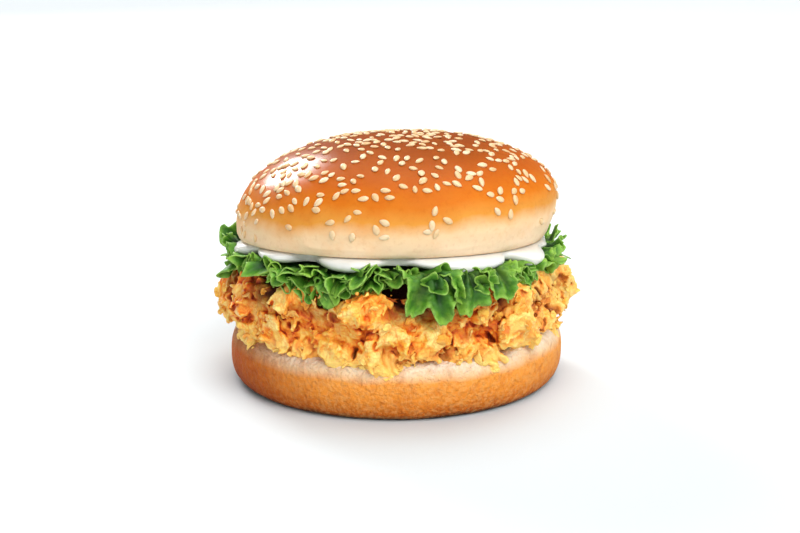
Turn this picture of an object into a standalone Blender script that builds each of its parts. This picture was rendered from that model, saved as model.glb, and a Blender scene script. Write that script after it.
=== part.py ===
"""A chicken burger: heel, crisp fried fillet, five torn lettuce leaves, mayonnaise and crown.

Metres, +Z up. The origin is the centre of the heel's flat underside, and the burger's
front, where the lettuce hangs lowest, faces -Y. Angles run from +X towards +Y.
"""

import math

import bmesh
import bpy
from mathutils import Matrix, Vector, noise
from mathutils.bvhtree import BVHTree

# Driving dimensions.
HEEL_RADIUS = 0.0552
HEEL_HEIGHT = 0.0182
CROWN_RADIUS = 0.0528
CROWN_HEIGHT = 0.0338
CROWN_LIFT = 0.0470  # from the table to the middle of the crown's cut face
STACK_TILT = math.radians(-4.0)  # the crown and what lies under it rise towards the front
GAP = 0.0004  # kept between pieces that rest on each other

# The heel's and the crown's outlines.
BUN_STEPS = 48
HEEL_TUCK = 0.0048  # how far its underside and its cut face are drawn in
HEEL_SIDE_STEPS = 7
HEEL_SQUARENESS = 2.6  # 2 is a round side, more is squarer
HEEL_SWELL = 0.008  # unevenness, as a share of the radius
CROWN_TUCK = 0.0022
CROWN_TUCK_SIDEWAYS = 0.55  # share by which the tuck grows at the right and shrinks at the left
CROWN_WAIST = 0.0088  # height of the crown's widest ring over its cut face
CROWN_RIM_STEPS = 3
CROWN_DOME_STEPS = 9
CROWN_FULLNESS = 2.1  # 2 is an elliptical dome, more is fuller
CROWN_SWELL = 0.010

# The mayonnaise, in the crown's tilted frame.
MAYO_RADIUS = 0.0496
MAYO_DEPTH = 0.0026
MAYO_STEPS = 72
MAYO_EDGE = 0.8  # share of the radius past which the layer may swell and hang
MAYO_PROFILE = (  # share of the radius, share of the depth, from the top's middle to the bottom's
    (0.0, 0.0),
    (0.55, 0.0),
    (0.94, 0.0),
    (1.0, 0.35),
    (0.97, 0.9),
    (0.90, 1.0),
    (0.5, 1.0),
    (0.0, 1.0),
)
MAYO_DRIPS = (  # middle angle, half width in degrees, drop, overhang
    (-64, 17, 0.0012, 0.0020),
    (-33, 9, 0.0014, 0.0024),
    (-110, 10, 0.0007, 0.0016),
    (-140, 12, 0.0004, 0.0012),
    (-168, 9, 0.0012, 0.0020),
    (152, 12, 0.0006, 0.0014),
    (112, 14, 0.0010, 0.0018),
    (70, 11, 0.0005, 0.0012),
    (30, 15, 0.0010, 0.0018),
)

# The fillet. Its top follows the tilt.
FILLET_RADIUS = 0.0535
FILLET_TOP = -0.0053  # in the crown's tilted frame
FILLET_STEPS = 84
FILLET_RINGS = 10
FILLET_BELLY = 0.42  # share of its height at which the fillet is widest
FILLET_FOOT = 0.09  # share by which it draws in at the bottom
FILLET_BROW = 0.22  # share by which it draws in at the top
FILLET_CORE = 0.6  # share of the radius inside which its surfaces stay smooth
FILLET_CRAGS = ((0.0120, 0.0022, 5.0), (0.0065, 0.0018, 9.0))  # lump size, height, seed
FILLET_DIPS = (0.012, 0.0010, 6.0)  # hollows in its top: size, depth, seed
FILLET_LOBES = (  # middle angle, half width in degrees, how far it stands out
    (182, 22, 0.0052),
    (2, 20, 0.0058),
    (-42, 16, 0.0022),
    (-100, 20, 0.0022),
    (-146, 17, 0.0026),
    (60, 24, 0.0024),
    (118, 26, 0.0028),
)

# The lettuce, in the crown's tilted frame.
LEAF_THICKNESS = 0.0010
LEAF_BED = -0.0041  # height of the flat part of a leaf
LEAF_HEART = 0.007  # radius at which a leaf begins
LEAF_FOLD = 0.0440  # radius at which its frill begins
LEAF_STEPS = 31
LEAF_ROWS = 7
FRILL_ROWS = 5
RUFFLE_LENGTH = 0.0125
RUFFLE_HEIGHT = 0.0026
RUFFLE_DEPTH = 0.0014  # how far the ruffles swing in and out
RUFFLE_WANDER = 1.3  # how far, in radians, their rhythm drifts
FRILL_CLEARANCE = 0.0022  # from a frill's middle surface to the fillet
BED_CLEARANCE = 0.0011  # from a leaf's middle surface to what it lies between
SAUCE_MARGIN = 0.0015  # a leaf also passes under mayonnaise this far beside it
LEAF_HEADROOM = 0.0026  # a frill stands above the bed only this far outside the crown
LEAVES = {  # start and end angle, reach, drop, and lobes: angle, half width, extra reach, extra drop
    "lettuce_front_left": (-163, -94, 0.0565, 0.0055, ((-148, 9, 0.000, 0.001), (-118, 10, 0.001, 0.002))),
    "lettuce_front_right": (-91, -36, 0.0560, 0.0060, ((-76, 9, 0.002, 0.012), (-59, 10, 0.002, 0.006))),
    "lettuce_right": (-33, 40, 0.0550, 0.0030, ((-20, 8, 0.000, 0.004), (2, 12, 0.001, -0.006))),
    "lettuce_back": (43, 118, 0.0570, 0.0060, ((60, 10, 0.001, 0.004), (95, 12, 0.001, 0.007))),
    "lettuce_left": (121, 194, 0.0575, 0.0045, ((140, 10, 0.000, 0.005), (182, 12, 0.001, -0.005))),
}

FINISHES = {  # linear base colour and roughness
    "bun": ((0.66, 0.30, 0.08), 0.55),
    "crust": ((0.80, 0.42, 0.09), 0.60),
    "lettuce": ((0.10, 0.32, 0.04), 0.45),
    "mayonnaise": ((0.90, 0.89, 0.84), 0.30),
}


def clear_scene():
    for obj in list(bpy.data.objects):
        bpy.data.objects.remove(obj)


def material(name):
    colour, roughness = FINISHES[name]
    made = bpy.data.materials.new(name)
    made.use_nodes = True
    shader = made.node_tree.nodes["Principled BSDF"]
    shader.inputs["Base Color"].default_value = (*colour, 1.0)
    shader.inputs["Roughness"].default_value = roughness
    shader.inputs["Metallic"].default_value = 0.0
    return made


def bump(angle, middle, half_width):
    """1 at the middle angle, falling smoothly to 0 at half_width from it; all in degrees."""
    off = (angle - middle + 180) % 360 - 180
    return math.cos(math.pi / 2 * off / half_width) ** 2 if abs(off) < half_width else 0.0


def degrees_of(point):
    return math.degrees(math.atan2(point.y, point.x))


def on_ring(radius, angle, height):
    turn = math.radians(angle)
    return Vector((radius * math.cos(turn), radius * math.sin(turn), height))


def unevenness(point, size, seed):
    """Smooth noise from -1 to 1, with lumps about as large as size."""
    return noise.noise(point / size + Vector((seed, 2.7 * seed, 1.3 * seed)))


def swell(vert, share):
    """Moves a vertex out from the Z axis by a share of its radius."""
    vert.co.x *= 1 + share
    vert.co.y *= 1 + share


def turned(name, profile, steps):
    """A mesh from a profile of (radius, height) points that runs from the axis to the axis."""
    form = bmesh.new()
    line = [form.verts.new((radius, 0, height)) for radius, height in profile]
    edges = [form.edges.new(pair) for pair in zip(line, line[1:])]
    bmesh.ops.spin(
        form, geom=line + edges, axis=(0, 0, 1), cent=(0, 0, 0), angle=2 * math.pi, steps=steps
    )
    bmesh.ops.remove_doubles(form, verts=form.verts, dist=1e-5)
    bmesh.ops.recalc_face_normals(form, faces=form.faces)
    mesh = bpy.data.meshes.new(name)
    form.to_mesh(mesh)
    form.free()
    return mesh


def place(name, mesh, material_made, parent=None):
    obj = bpy.data.objects.new(name, mesh)
    mesh.materials.append(material_made)
    mesh.shade_smooth()
    bpy.context.scene.collection.objects.link(obj)
    obj.parent = parent
    return obj


def tilted_frame():
    """The empty that carries the crown, the mayonnaise and the lettuce."""
    frame = bpy.data.objects.new("tilted_stack", None)
    bpy.context.scene.collection.objects.link(frame)
    frame.location = (0, 0, CROWN_LIFT)
    frame.rotation_euler = (STACK_TILT, 0, 0)
    bpy.context.view_layer.update()
    return frame


def heel(material_made):
    side = []
    for i in range(HEEL_SIDE_STEPS + 1):
        level = 2 * i / HEEL_SIDE_STEPS - 1
        out = (1 - abs(level) ** HEEL_SQUARENESS) ** (1 / HEEL_SQUARENESS)
        side.append((HEEL_RADIUS - HEEL_TUCK * (1 - out), HEEL_HEIGHT * i / HEEL_SIDE_STEPS))
    mesh = turned("bun_heel", [(0, 0), *side, (0, HEEL_HEIGHT)], BUN_STEPS)
    for vert in mesh.vertices:
        swell(vert, HEEL_SWELL * unevenness(vert.co, 0.05, 3.0))
    return place("bun_heel", mesh, material_made)


def crown_profile():
    """Cut face, tucked rim, widest ring and dome."""
    rim = []
    for i in range(CROWN_RIM_STEPS):
        level = i / CROWN_RIM_STEPS
        rim.append((CROWN_RADIUS - CROWN_TUCK * (1 - level) ** 2, CROWN_WAIST * level))
    dome = []
    for i in range(CROWN_DOME_STEPS):
        turn = math.pi / 2 * i / CROWN_DOME_STEPS
        rise = math.sin(turn) ** (2 / CROWN_FULLNESS)
        radius = CROWN_RADIUS * math.cos(turn) ** (2 / CROWN_FULLNESS)
        dome.append((radius, CROWN_WAIST + (CROWN_HEIGHT - CROWN_WAIST) * rise))
    return [(0, 0), *rim, *dome, (0, CROWN_HEIGHT)]


def crown(material_made, frame):
    mesh = turned("bun_crown", crown_profile(), BUN_STEPS)
    for vert in mesh.vertices:
        below_waist = max(0.0, 1 - vert.co.z / CROWN_WAIST) ** 2
        sideways = vert.co.x / CROWN_RADIUS * CROWN_TUCK_SIDEWAYS
        swell(vert, -CROWN_TUCK * sideways * below_waist / CROWN_RADIUS)
        swell(vert, CROWN_SWELL * unevenness(vert.co, 0.06, 8.0))
    return place("bun_crown", mesh, material_made, frame)


def mayonnaise(material_made, frame):
    """A spread layer under the crown, with thick drips that hang past its rim."""
    top = -GAP
    profile = [(MAYO_RADIUS * out, top - MAYO_DEPTH * down) for out, down in MAYO_PROFILE]
    mesh = turned("mayonnaise", profile[::-1], MAYO_STEPS)
    for vert in mesh.vertices:
        radius = math.hypot(vert.co.x, vert.co.y)
        edge = (radius / MAYO_RADIUS - MAYO_EDGE) / (1 - MAYO_EDGE)
        if edge <= 0:
            continue
        angle = degrees_of(vert.co)
        shares = [bump(angle, middle, half) for middle, half, _, _ in MAYO_DRIPS]
        drop = sum(share * drip[2] for share, drip in zip(shares, MAYO_DRIPS))
        overhang = sum(share * drip[3] for share, drip in zip(shares, MAYO_DRIPS))
        swell(vert, overhang * edge / radius)
        hang = max(0.0, edge - 0.5) / 0.5
        vert.co.z -= drop * hang * (top - vert.co.z) / MAYO_DEPTH
    return place("mayonnaise", mesh, material_made, frame)


def fillet_profile():
    """Shares of the radius and of the height, from the middle of the bottom to that of the top."""
    side = []
    for i in range(FILLET_RINGS + 1):
        level = i / FILLET_RINGS
        if level < FILLET_BELLY:
            out = 1 - FILLET_FOOT * (1 - level / FILLET_BELLY) ** 2
        else:
            out = 1 - FILLET_BROW * ((level - FILLET_BELLY) / (1 - FILLET_BELLY)) ** 2.4
        side.append((out, level))
    return [(0, 0), (FILLET_CORE, 0), *side, (FILLET_CORE, 1), (FILLET_CORE / 2, 1), (0, 1)]


def fillet(material_made, frame):
    """A thick, uneven fillet with a craggy crust, from the heel's cut face up to the lettuce."""
    bottom = HEEL_HEIGHT + GAP
    mesh = turned("chicken_fillet", fillet_profile(), FILLET_STEPS)
    middle = frame.matrix_world @ Vector((0, 0, FILLET_TOP))
    slope = (frame.matrix_world.to_3x3() @ Vector((0, 0, 1))).normalized()
    dip_size, dip_depth, dip_seed = FILLET_DIPS
    for vert in mesh.vertices:
        share = math.hypot(vert.co.x, vert.co.y)
        level = vert.co.z
        angle = degrees_of(vert.co)
        lobes = sum(out * bump(angle, middle_angle, half) for middle_angle, half, out in FILLET_LOBES)
        swell(vert, FILLET_RADIUS + lobes - 1)
        top = middle.z - (slope.x * vert.co.x + slope.y * (vert.co.y - middle.y)) / slope.z
        vert.co.z = bottom + (top - bottom) * level
        on_side = min(1.0, max(0.0, share - FILLET_CORE) / 0.3)
        crag = sum(height * unevenness(vert.co, size, seed) for size, height, seed in FILLET_CRAGS)
        swell(vert, crag * on_side / FILLET_RADIUS)
        if level == 1.0:
            vert.co.z -= dip_depth * abs(unevenness(vert.co, dip_size, dip_seed))
    return place("chicken_fillet", mesh, material_made)


def leaf_point(start, end, reach, drop, lobes, along, out):
    """A point on a leaf's middle surface; along runs from its start to its end, and out from heart to edge."""
    angle = start + (end - start) * along
    flat_share = 1 - FRILL_ROWS / LEAF_ROWS
    if out <= flat_share:
        return on_ring(LEAF_HEART + (LEAF_FOLD - LEAF_HEART) * out / flat_share, angle, LEAF_BED)
    frill = (out - flat_share) / (1 - flat_share)
    shares = [bump(angle, middle, half) for middle, half, _, _ in lobes]
    reach += sum(share * lobe[2] for share, lobe in zip(shares, lobes))
    drop += sum(share * lobe[3] for share, lobe in zip(shares, lobes))
    radius = LEAF_FOLD + (reach - LEAF_FOLD) * math.sin(frill * math.pi / 2) ** 0.8
    height = LEAF_BED - drop * frill**1.8
    wander = RUFFLE_WANDER * unevenness(on_ring(1.0, angle, 0.0), 0.35, 4.0)
    phase = 2 * math.pi * math.radians(angle) * CROWN_RADIUS / RUFFLE_LENGTH + wander
    radius += RUFFLE_DEPTH * math.cos(phase) * frill
    height += RUFFLE_HEIGHT * math.sin(phase) * frill**1.4
    if radius < CROWN_RADIUS + LEAF_HEADROOM:
        height = min(height, LEAF_BED)
    return on_ring(radius, angle, height)


def keep_under(point, sauce):
    """Lowers a point until it is clear of the mayonnaise over it and just beside it."""
    radius = math.hypot(point.x, point.y)
    for beside in (-SAUCE_MARGIN, 0.0, SAUCE_MARGIN):
        share = 1 + beside / radius
        start = Vector((point.x * share, point.y * share, -CROWN_LIFT))
        underside = sauce.ray_cast(start, Vector((0, 0, 1)))[0]
        if underside:
            point.z = min(point.z, underside.z - BED_CLEARANCE)
    return point


def keep_clear(point, meat, clearance):
    """Moves a point up and out until it is clear of the fillet."""
    for _ in range(4):
        near, normal, _, distance = meat.find_nearest(point)
        inside = (point - near).dot(normal) < 0
        if not inside and distance >= clearance:
            break
        way = normal if normal.z > 0.8 else normal + Vector((near.x, near.y, 0)).normalized()
        point = near + way.normalized() * clearance * 1.02
    return point


def leaf(name, material_made, frame, meat, sauce):
    """A torn leaf: a flat wedge under the mayonnaise, and a ruffled frill that hangs over the fillet."""
    form = bmesh.new()
    grid = []
    for row in range(LEAF_ROWS + 1):
        clearance = FRILL_CLEARANCE if row > LEAF_ROWS - FRILL_ROWS + 1 else BED_CLEARANCE
        points = [leaf_point(*LEAVES[name], i / LEAF_STEPS, row / LEAF_ROWS) for i in range(LEAF_STEPS + 1)]
        points = [keep_clear(keep_under(point, sauce), meat, clearance) for point in points]
        grid.append([form.verts.new(point) for point in points])
    for lower, upper in zip(grid, grid[1:]):
        for i in range(LEAF_STEPS):
            form.faces.new((lower[i], upper[i], upper[i + 1], lower[i + 1]))
    bmesh.ops.recalc_face_normals(form, faces=form.faces)
    mesh = bpy.data.meshes.new(name)
    form.to_mesh(mesh)
    form.free()
    obj = place(name, mesh, material_made, frame)
    blade = obj.modifiers.new("blade", "SOLIDIFY")
    blade.thickness = LEAF_THICKNESS
    blade.offset = 0.0
    return obj


def surface_tree(obj, transform=Matrix()):
    """The surface of obj's own mesh, moved by transform."""
    form = bmesh.new()
    form.from_mesh(obj.data)
    form.transform(transform)
    tree = BVHTree.FromBMesh(form)
    form.free()
    return tree


def main():
    clear_scene()
    materials = {name: material(name) for name in FINISHES}
    frame = tilted_frame()
    heel(materials["bun"])
    crown(materials["bun"], frame)
    sauce = surface_tree(mayonnaise(materials["mayonnaise"], frame))
    meat = surface_tree(fillet(materials["crust"], frame), frame.matrix_world.inverted())
    for name in LEAVES:
        leaf(name, materials["lettuce"], frame, meat, sauce)


main()
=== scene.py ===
import math

import bpy
import numpy as np
import openvdb
from mathutils import Matrix, Vector


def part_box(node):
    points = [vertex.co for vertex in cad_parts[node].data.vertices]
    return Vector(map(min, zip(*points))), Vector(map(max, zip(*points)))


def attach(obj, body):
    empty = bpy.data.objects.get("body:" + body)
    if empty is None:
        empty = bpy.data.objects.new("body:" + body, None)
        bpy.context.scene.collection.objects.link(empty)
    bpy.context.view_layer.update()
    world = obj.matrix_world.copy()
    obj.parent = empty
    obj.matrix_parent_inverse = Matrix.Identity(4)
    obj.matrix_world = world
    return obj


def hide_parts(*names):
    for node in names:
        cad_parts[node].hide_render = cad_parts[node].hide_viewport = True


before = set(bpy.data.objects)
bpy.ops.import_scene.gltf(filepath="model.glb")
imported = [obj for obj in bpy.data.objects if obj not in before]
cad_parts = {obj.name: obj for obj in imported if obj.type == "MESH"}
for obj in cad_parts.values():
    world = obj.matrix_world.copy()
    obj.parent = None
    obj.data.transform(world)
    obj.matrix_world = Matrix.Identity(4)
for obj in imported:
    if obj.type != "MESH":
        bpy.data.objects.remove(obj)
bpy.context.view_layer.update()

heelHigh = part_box("bun_heel")[1]
crownLow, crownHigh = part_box("bun_crown")
filletLow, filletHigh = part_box("chicken_fillet")

# The crown, the sauce and the lettuce share one frame that leans back by this much.
stack = {
    "tilt": -4.0,
    "crownRadius": (crownHigh.x - crownLow.x) / 2,
    "crownTuck": 0.0022,  # how far the crown draws in at its cut face
    "sauceDepth": 0.0030,  # from the crown's cut face down to the lettuce
    "meatDrop": 0.0053,  # from the crown's cut face down to the fillet
}
tilt = math.radians(stack["tilt"])
stackLift = crownLow.z + (stack["crownRadius"] - stack["crownTuck"]) * math.sin(-tilt)
stackMatrix = Matrix.Translation((0, 0, stackLift)) @ Matrix.Rotation(tilt, 4, "X")


# Small tools.
def smooth(low, high, value):
    share = np.clip((value - low) / (high - low), 0, 1)
    return share * share * (3 - 2 * share)


def hump(angle, middle, halfWidth):
    # 1 at the middle angle, falling to 0 at halfWidth from it
    off = (angle - middle + 180) % 360 - 180
    return np.where(np.abs(off) < halfWidth, np.cos(np.pi / 2 * off / halfWidth) ** 2, 0.0)


noiseTable = 8192  # a power of two
noisePrimes = (73856093, 19349663, 83492791)


def lumps(x, y, z, size, seed):
    # smooth noise from about -1 to 1, with lumps as large as size
    table = np.random.default_rng(seed).uniform(-1, 1, noiseTable).astype(np.float32)
    shares, cells = [], []
    for axis, values in enumerate((x, y, z)):
        scaled = np.asarray(values, np.float32) / size + 37.3 * (axis + 1)
        cell = np.floor(scaled).astype(np.int64)
        share = scaled - cell
        shares.append(share * share * share * (share * (share * 6 - 15) + 10))
        cells.append(cell)
    total = 0.0
    for corner in np.ndindex(2, 2, 2):
        key, weight = 0, 1.0
        for end, cell, share, prime in zip(corner, cells, shares, noisePrimes):
            key = key ^ (cell + end) * prime
            weight = weight * (share if end else 1 - share)
        total = total + weight * table[key & (noiseTable - 1)]
    return total * 1.6


def moved(points, matrix):
    matrix = np.array(matrix)
    return points @ matrix[:3, :3].T + matrix[:3, 3]


def ringed(turn, radius, height):
    # points around the upright axis
    return np.stack(np.broadcast_arrays(radius * np.cos(turn), radius * np.sin(turn), height), -1)


def compass(turn):
    # outward, sideways and upward for something that stands at this turn
    return (np.array([math.cos(turn), math.sin(turn), 0]), np.array([-math.sin(turn), math.cos(turn), 0]),
            np.array([0, 0, 1]))


def drawn(random, value):
    # a number as it is, one between two, or one from a lowest, a spread and how rare large ones are
    if not isinstance(value, tuple):
        return value
    if len(value) == 2:
        return random.uniform(*value)
    return value[0] + value[1] * random.random() ** value[2]


def placed(name, data):
    thing = bpy.data.objects.new(name, data)
    bpy.context.scene.collection.objects.link(thing)
    return thing


def addAttributes(mesh, attributes):
    for key, values in attributes.items():
        layer = mesh.attributes.new(key, "FLOAT", "POINT")
        layer.data.foreach_set("value", np.asarray(values, np.float32))


def makeObject(name, points, faces, material, matrix=None, attributes=None):
    mesh = bpy.data.meshes.new(name)
    mesh.from_pydata(np.asarray(points).tolist(), [], [list(face) for face in faces])
    addAttributes(mesh, attributes or {})
    mesh.materials.append(material)
    mesh.shade_smooth()
    piece = placed(name, mesh)
    if matrix is not None:
        piece.matrix_world = matrix
    return piece


def skinOf(piece):
    # a piece's points, and the direction out of it at each
    both = []
    for values, key in ((piece.data.vertices, "co"), (piece.data.vertex_normals, "vector")):
        flat = np.empty(len(piece.data.vertices) * 3, np.float32)
        values.foreach_get(key, flat)
        both.append(flat.reshape(-1, 3))
    return both


def gridFaces(rows, columns, wrap=False):
    # quads between the points of a grid that is stored row by row
    across = columns if wrap else columns - 1
    row, column = np.meshgrid(np.arange(rows - 1), np.arange(across), indexing="ij")
    nextColumn = (column + 1) % columns
    here, along = row * columns + column, row * columns + nextColumn
    return np.stack([here, along, along + columns, here + columns], -1).reshape(-1, 4)


def closedLathe(rings, columns, first, last, inward=False):
    # rings stacked from first to last, closed with a fan at both ends
    points = np.concatenate([np.concatenate(rings), [first, last]])
    faces = gridFaces(len(rings), columns, wrap=True).tolist()
    low, high, top = len(points) - 2, len(points) - 1, (len(rings) - 1) * columns
    for i in range(columns):
        j = (i + 1) % columns
        faces.append([low, j, i])
        faces.append([high, top + i, top + j])
    if inward:
        faces = [face[::-1] for face in faces]
    return points, faces


def applyModifier(piece, kind, **settings):
    modifier = piece.modifiers.new(kind.lower(), kind)
    for key, value in settings.items():
        setattr(modifier, key, value)
    bpy.context.view_layer.objects.active = piece
    bpy.ops.object.modifier_apply(modifier=modifier.name)


def settle(piece, slot, *nodes):
    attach(piece, "root")
    if nodes:
        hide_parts(*nodes)
    count = sum(len(polygon.vertices) - 2 for polygon in piece.data.polygons)
    print(f"{piece.name}: {count} triangles")


# Fillet, in the burger's own frame.
crust = {
    "voxel": 0.00040,
    "room": 0.0075,  # how far past the fillet's box the flakes may reach
    "floor": 0.0120,  # lowest point that a hanging flake may reach
    "inset": 0.0024,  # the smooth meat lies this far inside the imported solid
    "belly": 0.42,
    "foot": 0.10,
    "brow": 0.22,
    "lobes": (  # middle angle, half width, how far it stands out
        (182, 22, 0.0028),
        (2, 20, 0.0040),
        (-42, 16, 0.0022),
        (-100, 20, 0.0022),
        (-146, 17, 0.0026),
        (60, 24, 0.0024),
        (118, 26, 0.0028),
    ),
    "clusters": (  # angle, level, size, how far out
        (-152, 0.62, 0.0080, 0.0000),
        (-136, 0.22, 0.0070, 0.0006),
        (-126, 0.66, 0.0078, 0.0010),
        (-112, 0.16, 0.0068, 0.0010),
        (-100, 0.58, 0.0082, 0.0022),
        (-97, 0.06, 0.0076, 0.0024),
        (-80, 0.28, 0.0084, 0.0004),
        (-64, 0.12, 0.0066, 0.0002),
        (-60, 0.66, 0.0070, -0.0008),
        (-48, 0.34, 0.0086, 0.0010),
        (-29, 0.70, 0.0074, 0.0004),
        (-24, 0.20, 0.0062, 0.0002),
        (-174, 0.40, 0.0070, 0.0002),
        (178, 0.72, 0.0064, 0.0000),
        (-96, -0.08, 0.0066, 0.0030),
        (-84, -0.05, 0.0064, 0.0030),
        (-71, -0.04, 0.0060, 0.0026),
        (-56, 0.02, 0.0058, 0.0022),
        (-111, 0.00, 0.0062, 0.0024),
        (-126, 0.04, 0.0060, 0.0018),
    ),
    "clusterGap": 0.0098,  # between the clusters on the sides and the back
    "clusterTries": 1500,
    "clusterLimits": ((-180, 180), (0.06, 0.90), (-0.001, 0.001)),  # angle, level, how far out
    "clusterSize": (0.0060, 0.0084),
    "clusterHeart": {"shape": ((0.82, 0.98), (0.68, 0.88), 0.78), "blend": 0.0016},  # along, across, out
    "clusterSunk": 0.53,
    "plates": (  # large smooth flakes: angle, level, length, width as a share of it, lean
        (-129, 0.66, 0.0056, 0.60, 26),
        (-100, 0.72, 0.0040, 0.90, 10),
        (-47, 0.30, 0.0060, 0.60, 22),
        (-93, 0.16, 0.0042, 0.70, 24),
        (-61, 0.50, 0.0044, 0.70, 30),
        (-16, 0.42, 0.0044, 0.70, 26),
        (-168, 0.50, 0.0044, 0.70, 30),
    ),
    "morePlates": 12,  # more of them on the sides and the back, between these limits
    "plateLimits": ((-10, 185), (0.1, 0.75), (0.0040, 0.0068), (0.6, 0.9), (8, 28)),
    "plateOut": 0.0022,
    "pockets": (  # dark gaps under the lettuce: angle, level, size
        (-112, 0.78, 0.0058),
        (-90, 0.82, 0.0054),
        (-46, 0.92, 0.0036),
        (-12, 0.90, 0.0032),
        (60, 0.85, 0.0040),
        (140, 0.85, 0.0040),
    ),
    # Florets, petals and grit grow on every cluster; spread is how far they stray from straight out.
    "floret": {
        "count": 20, "spread": 0.62, "lean": (0, 50), "out": (0.62, 0.88), "size": (0.0011, 0.0021, 1.3),
        "shape": ((1.0, 1.6), (0.7, 0.9), (0.5, 0.8)), "blend": 0.0004,
    },
    "grit": {
        "count": 12, "spread": 0.8, "lean": 40, "out": (0.7, 0.95), "size": (0.0004, 0.0010),
        "shape": (1.2, 1, (0.6, 1)), "blend": 0.0004,
    },
    # Curled flakes: ripples along the rim and their depth, length, width as a share of it, half thickness.
    "petal": {
        "count": 26, "spread": 0.62, "out": (0.74, 0.94), "lean": (4, 34), "spin": (-40, 40),
        "ripples": (3, 6), "ripple": (0.05, 0.20), "size": (0.0015, 0.0021, 1.4),
        "narrow": (0.65, 1.0), "thick": (0.00050, 0.00078), "curl": (-0.15, 0.50), "blend": 0.0004,
    },
    "plate": {
        "ripples": (4, 7), "ripple": 0.10, "thick": (0.0007, 0.0010), "curl": (0.05, 0.20), "blend": 0.0006,
    },
    "stray": {
        "count": 260, "level": (-0.06, 1.08), "out": (-0.0006, 0.0014), "lean": (0, 70), "spin": (0, 360),
        "away": None, "ripples": (2, 5), "ripple": (0.05, 0.25), "size": (0.0009, 0.0026, 2.2),
        "narrow": (0.6, 1), "thick": (0.00060, 0.00090), "curl": (-0.3, 0.4), "blend": 0.0005,
    },
    "fringe": {  # these hang just under the lettuce
        "count": 190, "level": (0.50, 1.02), "out": (-0.0002, 0.0012), "lean": (15, 60), "spin": (-30, 30),
        "away": (0.0, 0.0, 1.0), "ripples": (2, 5), "ripple": (0.10, 0.28), "size": (0.0014, 0.0032),
        "narrow": (0.45, 0.80), "thick": (0.00055, 0.00080), "curl": (-0.1, 0.5), "blend": 0.0005,
    },
    "puffs": ((0.0034, 0.00070, 35), (0.0016, 0.00058, 37), (0.0008, 0.00020, 39)),  # size, height, seed
    "warp": ((0.0070, 0.0012, 11), (0.0026, 0.00042, 23), (0.0012, 0.00014, 29)),
    # how far off a spot other crust counts as shutting it in, and by what share; the crust's colour is
    # darkened by these as painted shade
    "hollowShade": ((0.0009, 0.30), (0.0018, 0.40), (0.0034, 0.30)),
    "deep": ((0.0034, 0.25), (0.0060, 0.40), (0.0085, 0.35)),
    "triangles": 190000,
    "seed": 5,
}

meatRadius = 0.0535


def meatOutline(angle):
    return meatRadius + sum(out * hump(angle, middle, half) for middle, half, out in crust["lobes"])


def meatTop(x, y):
    # height of the plane under the lettuce
    point = stackMatrix @ Vector((0, 0, -stack["meatDrop"]))
    normal = stackMatrix.to_3x3() @ Vector((0, 0, 1))
    return point.z - (normal.x * x + normal.y * (y - point.y)) / normal.z


def meatShare(level):
    # the fillet's radius at this level, as a share of its greatest
    foot = 1 - crust["foot"] * (1 - level / crust["belly"]) ** 2
    brow = 1 - crust["brow"] * (np.maximum(level - crust["belly"], 0) / (1 - crust["belly"])) ** 2.4
    return np.where(level < crust["belly"], foot, brow)


def meatField(x, y, z):
    # distance to the smooth fillet, without its crust; negative inside
    radius = np.hypot(x, y)
    low, high = filletLow.z, meatTop(x, y)
    level = np.clip((z - low) / (high - low), 0, 1)
    side = (radius - meatOutline(np.degrees(np.arctan2(y, x))) * meatShare(level) + crust["inset"]) * 0.93
    rise = np.maximum(z - high, low - z) + crust["inset"] * 0.4
    blend = 0.0030
    mix = np.clip(0.5 + 0.5 * (side - rise) / blend, 0, 1)
    return rise + (side - rise) * mix + blend * mix * (1 - mix)


def meatPoint(angle, level, out=0.0):
    # a point on the fillet's side and the direction out of it
    radius = float(meatOutline(angle)) * float(meatShare(level)) - crust["inset"]
    turn = math.radians(angle)
    x, y = radius * math.cos(turn), radius * math.sin(turn)
    z = filletLow.z + (float(meatTop(x, y)) - filletLow.z) * level
    normal = np.array([math.cos(turn), math.sin(turn), (level - crust["belly"]) * 1.5])
    normal /= np.linalg.norm(normal)
    return np.array([x, y, z]) + normal * out, normal


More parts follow.
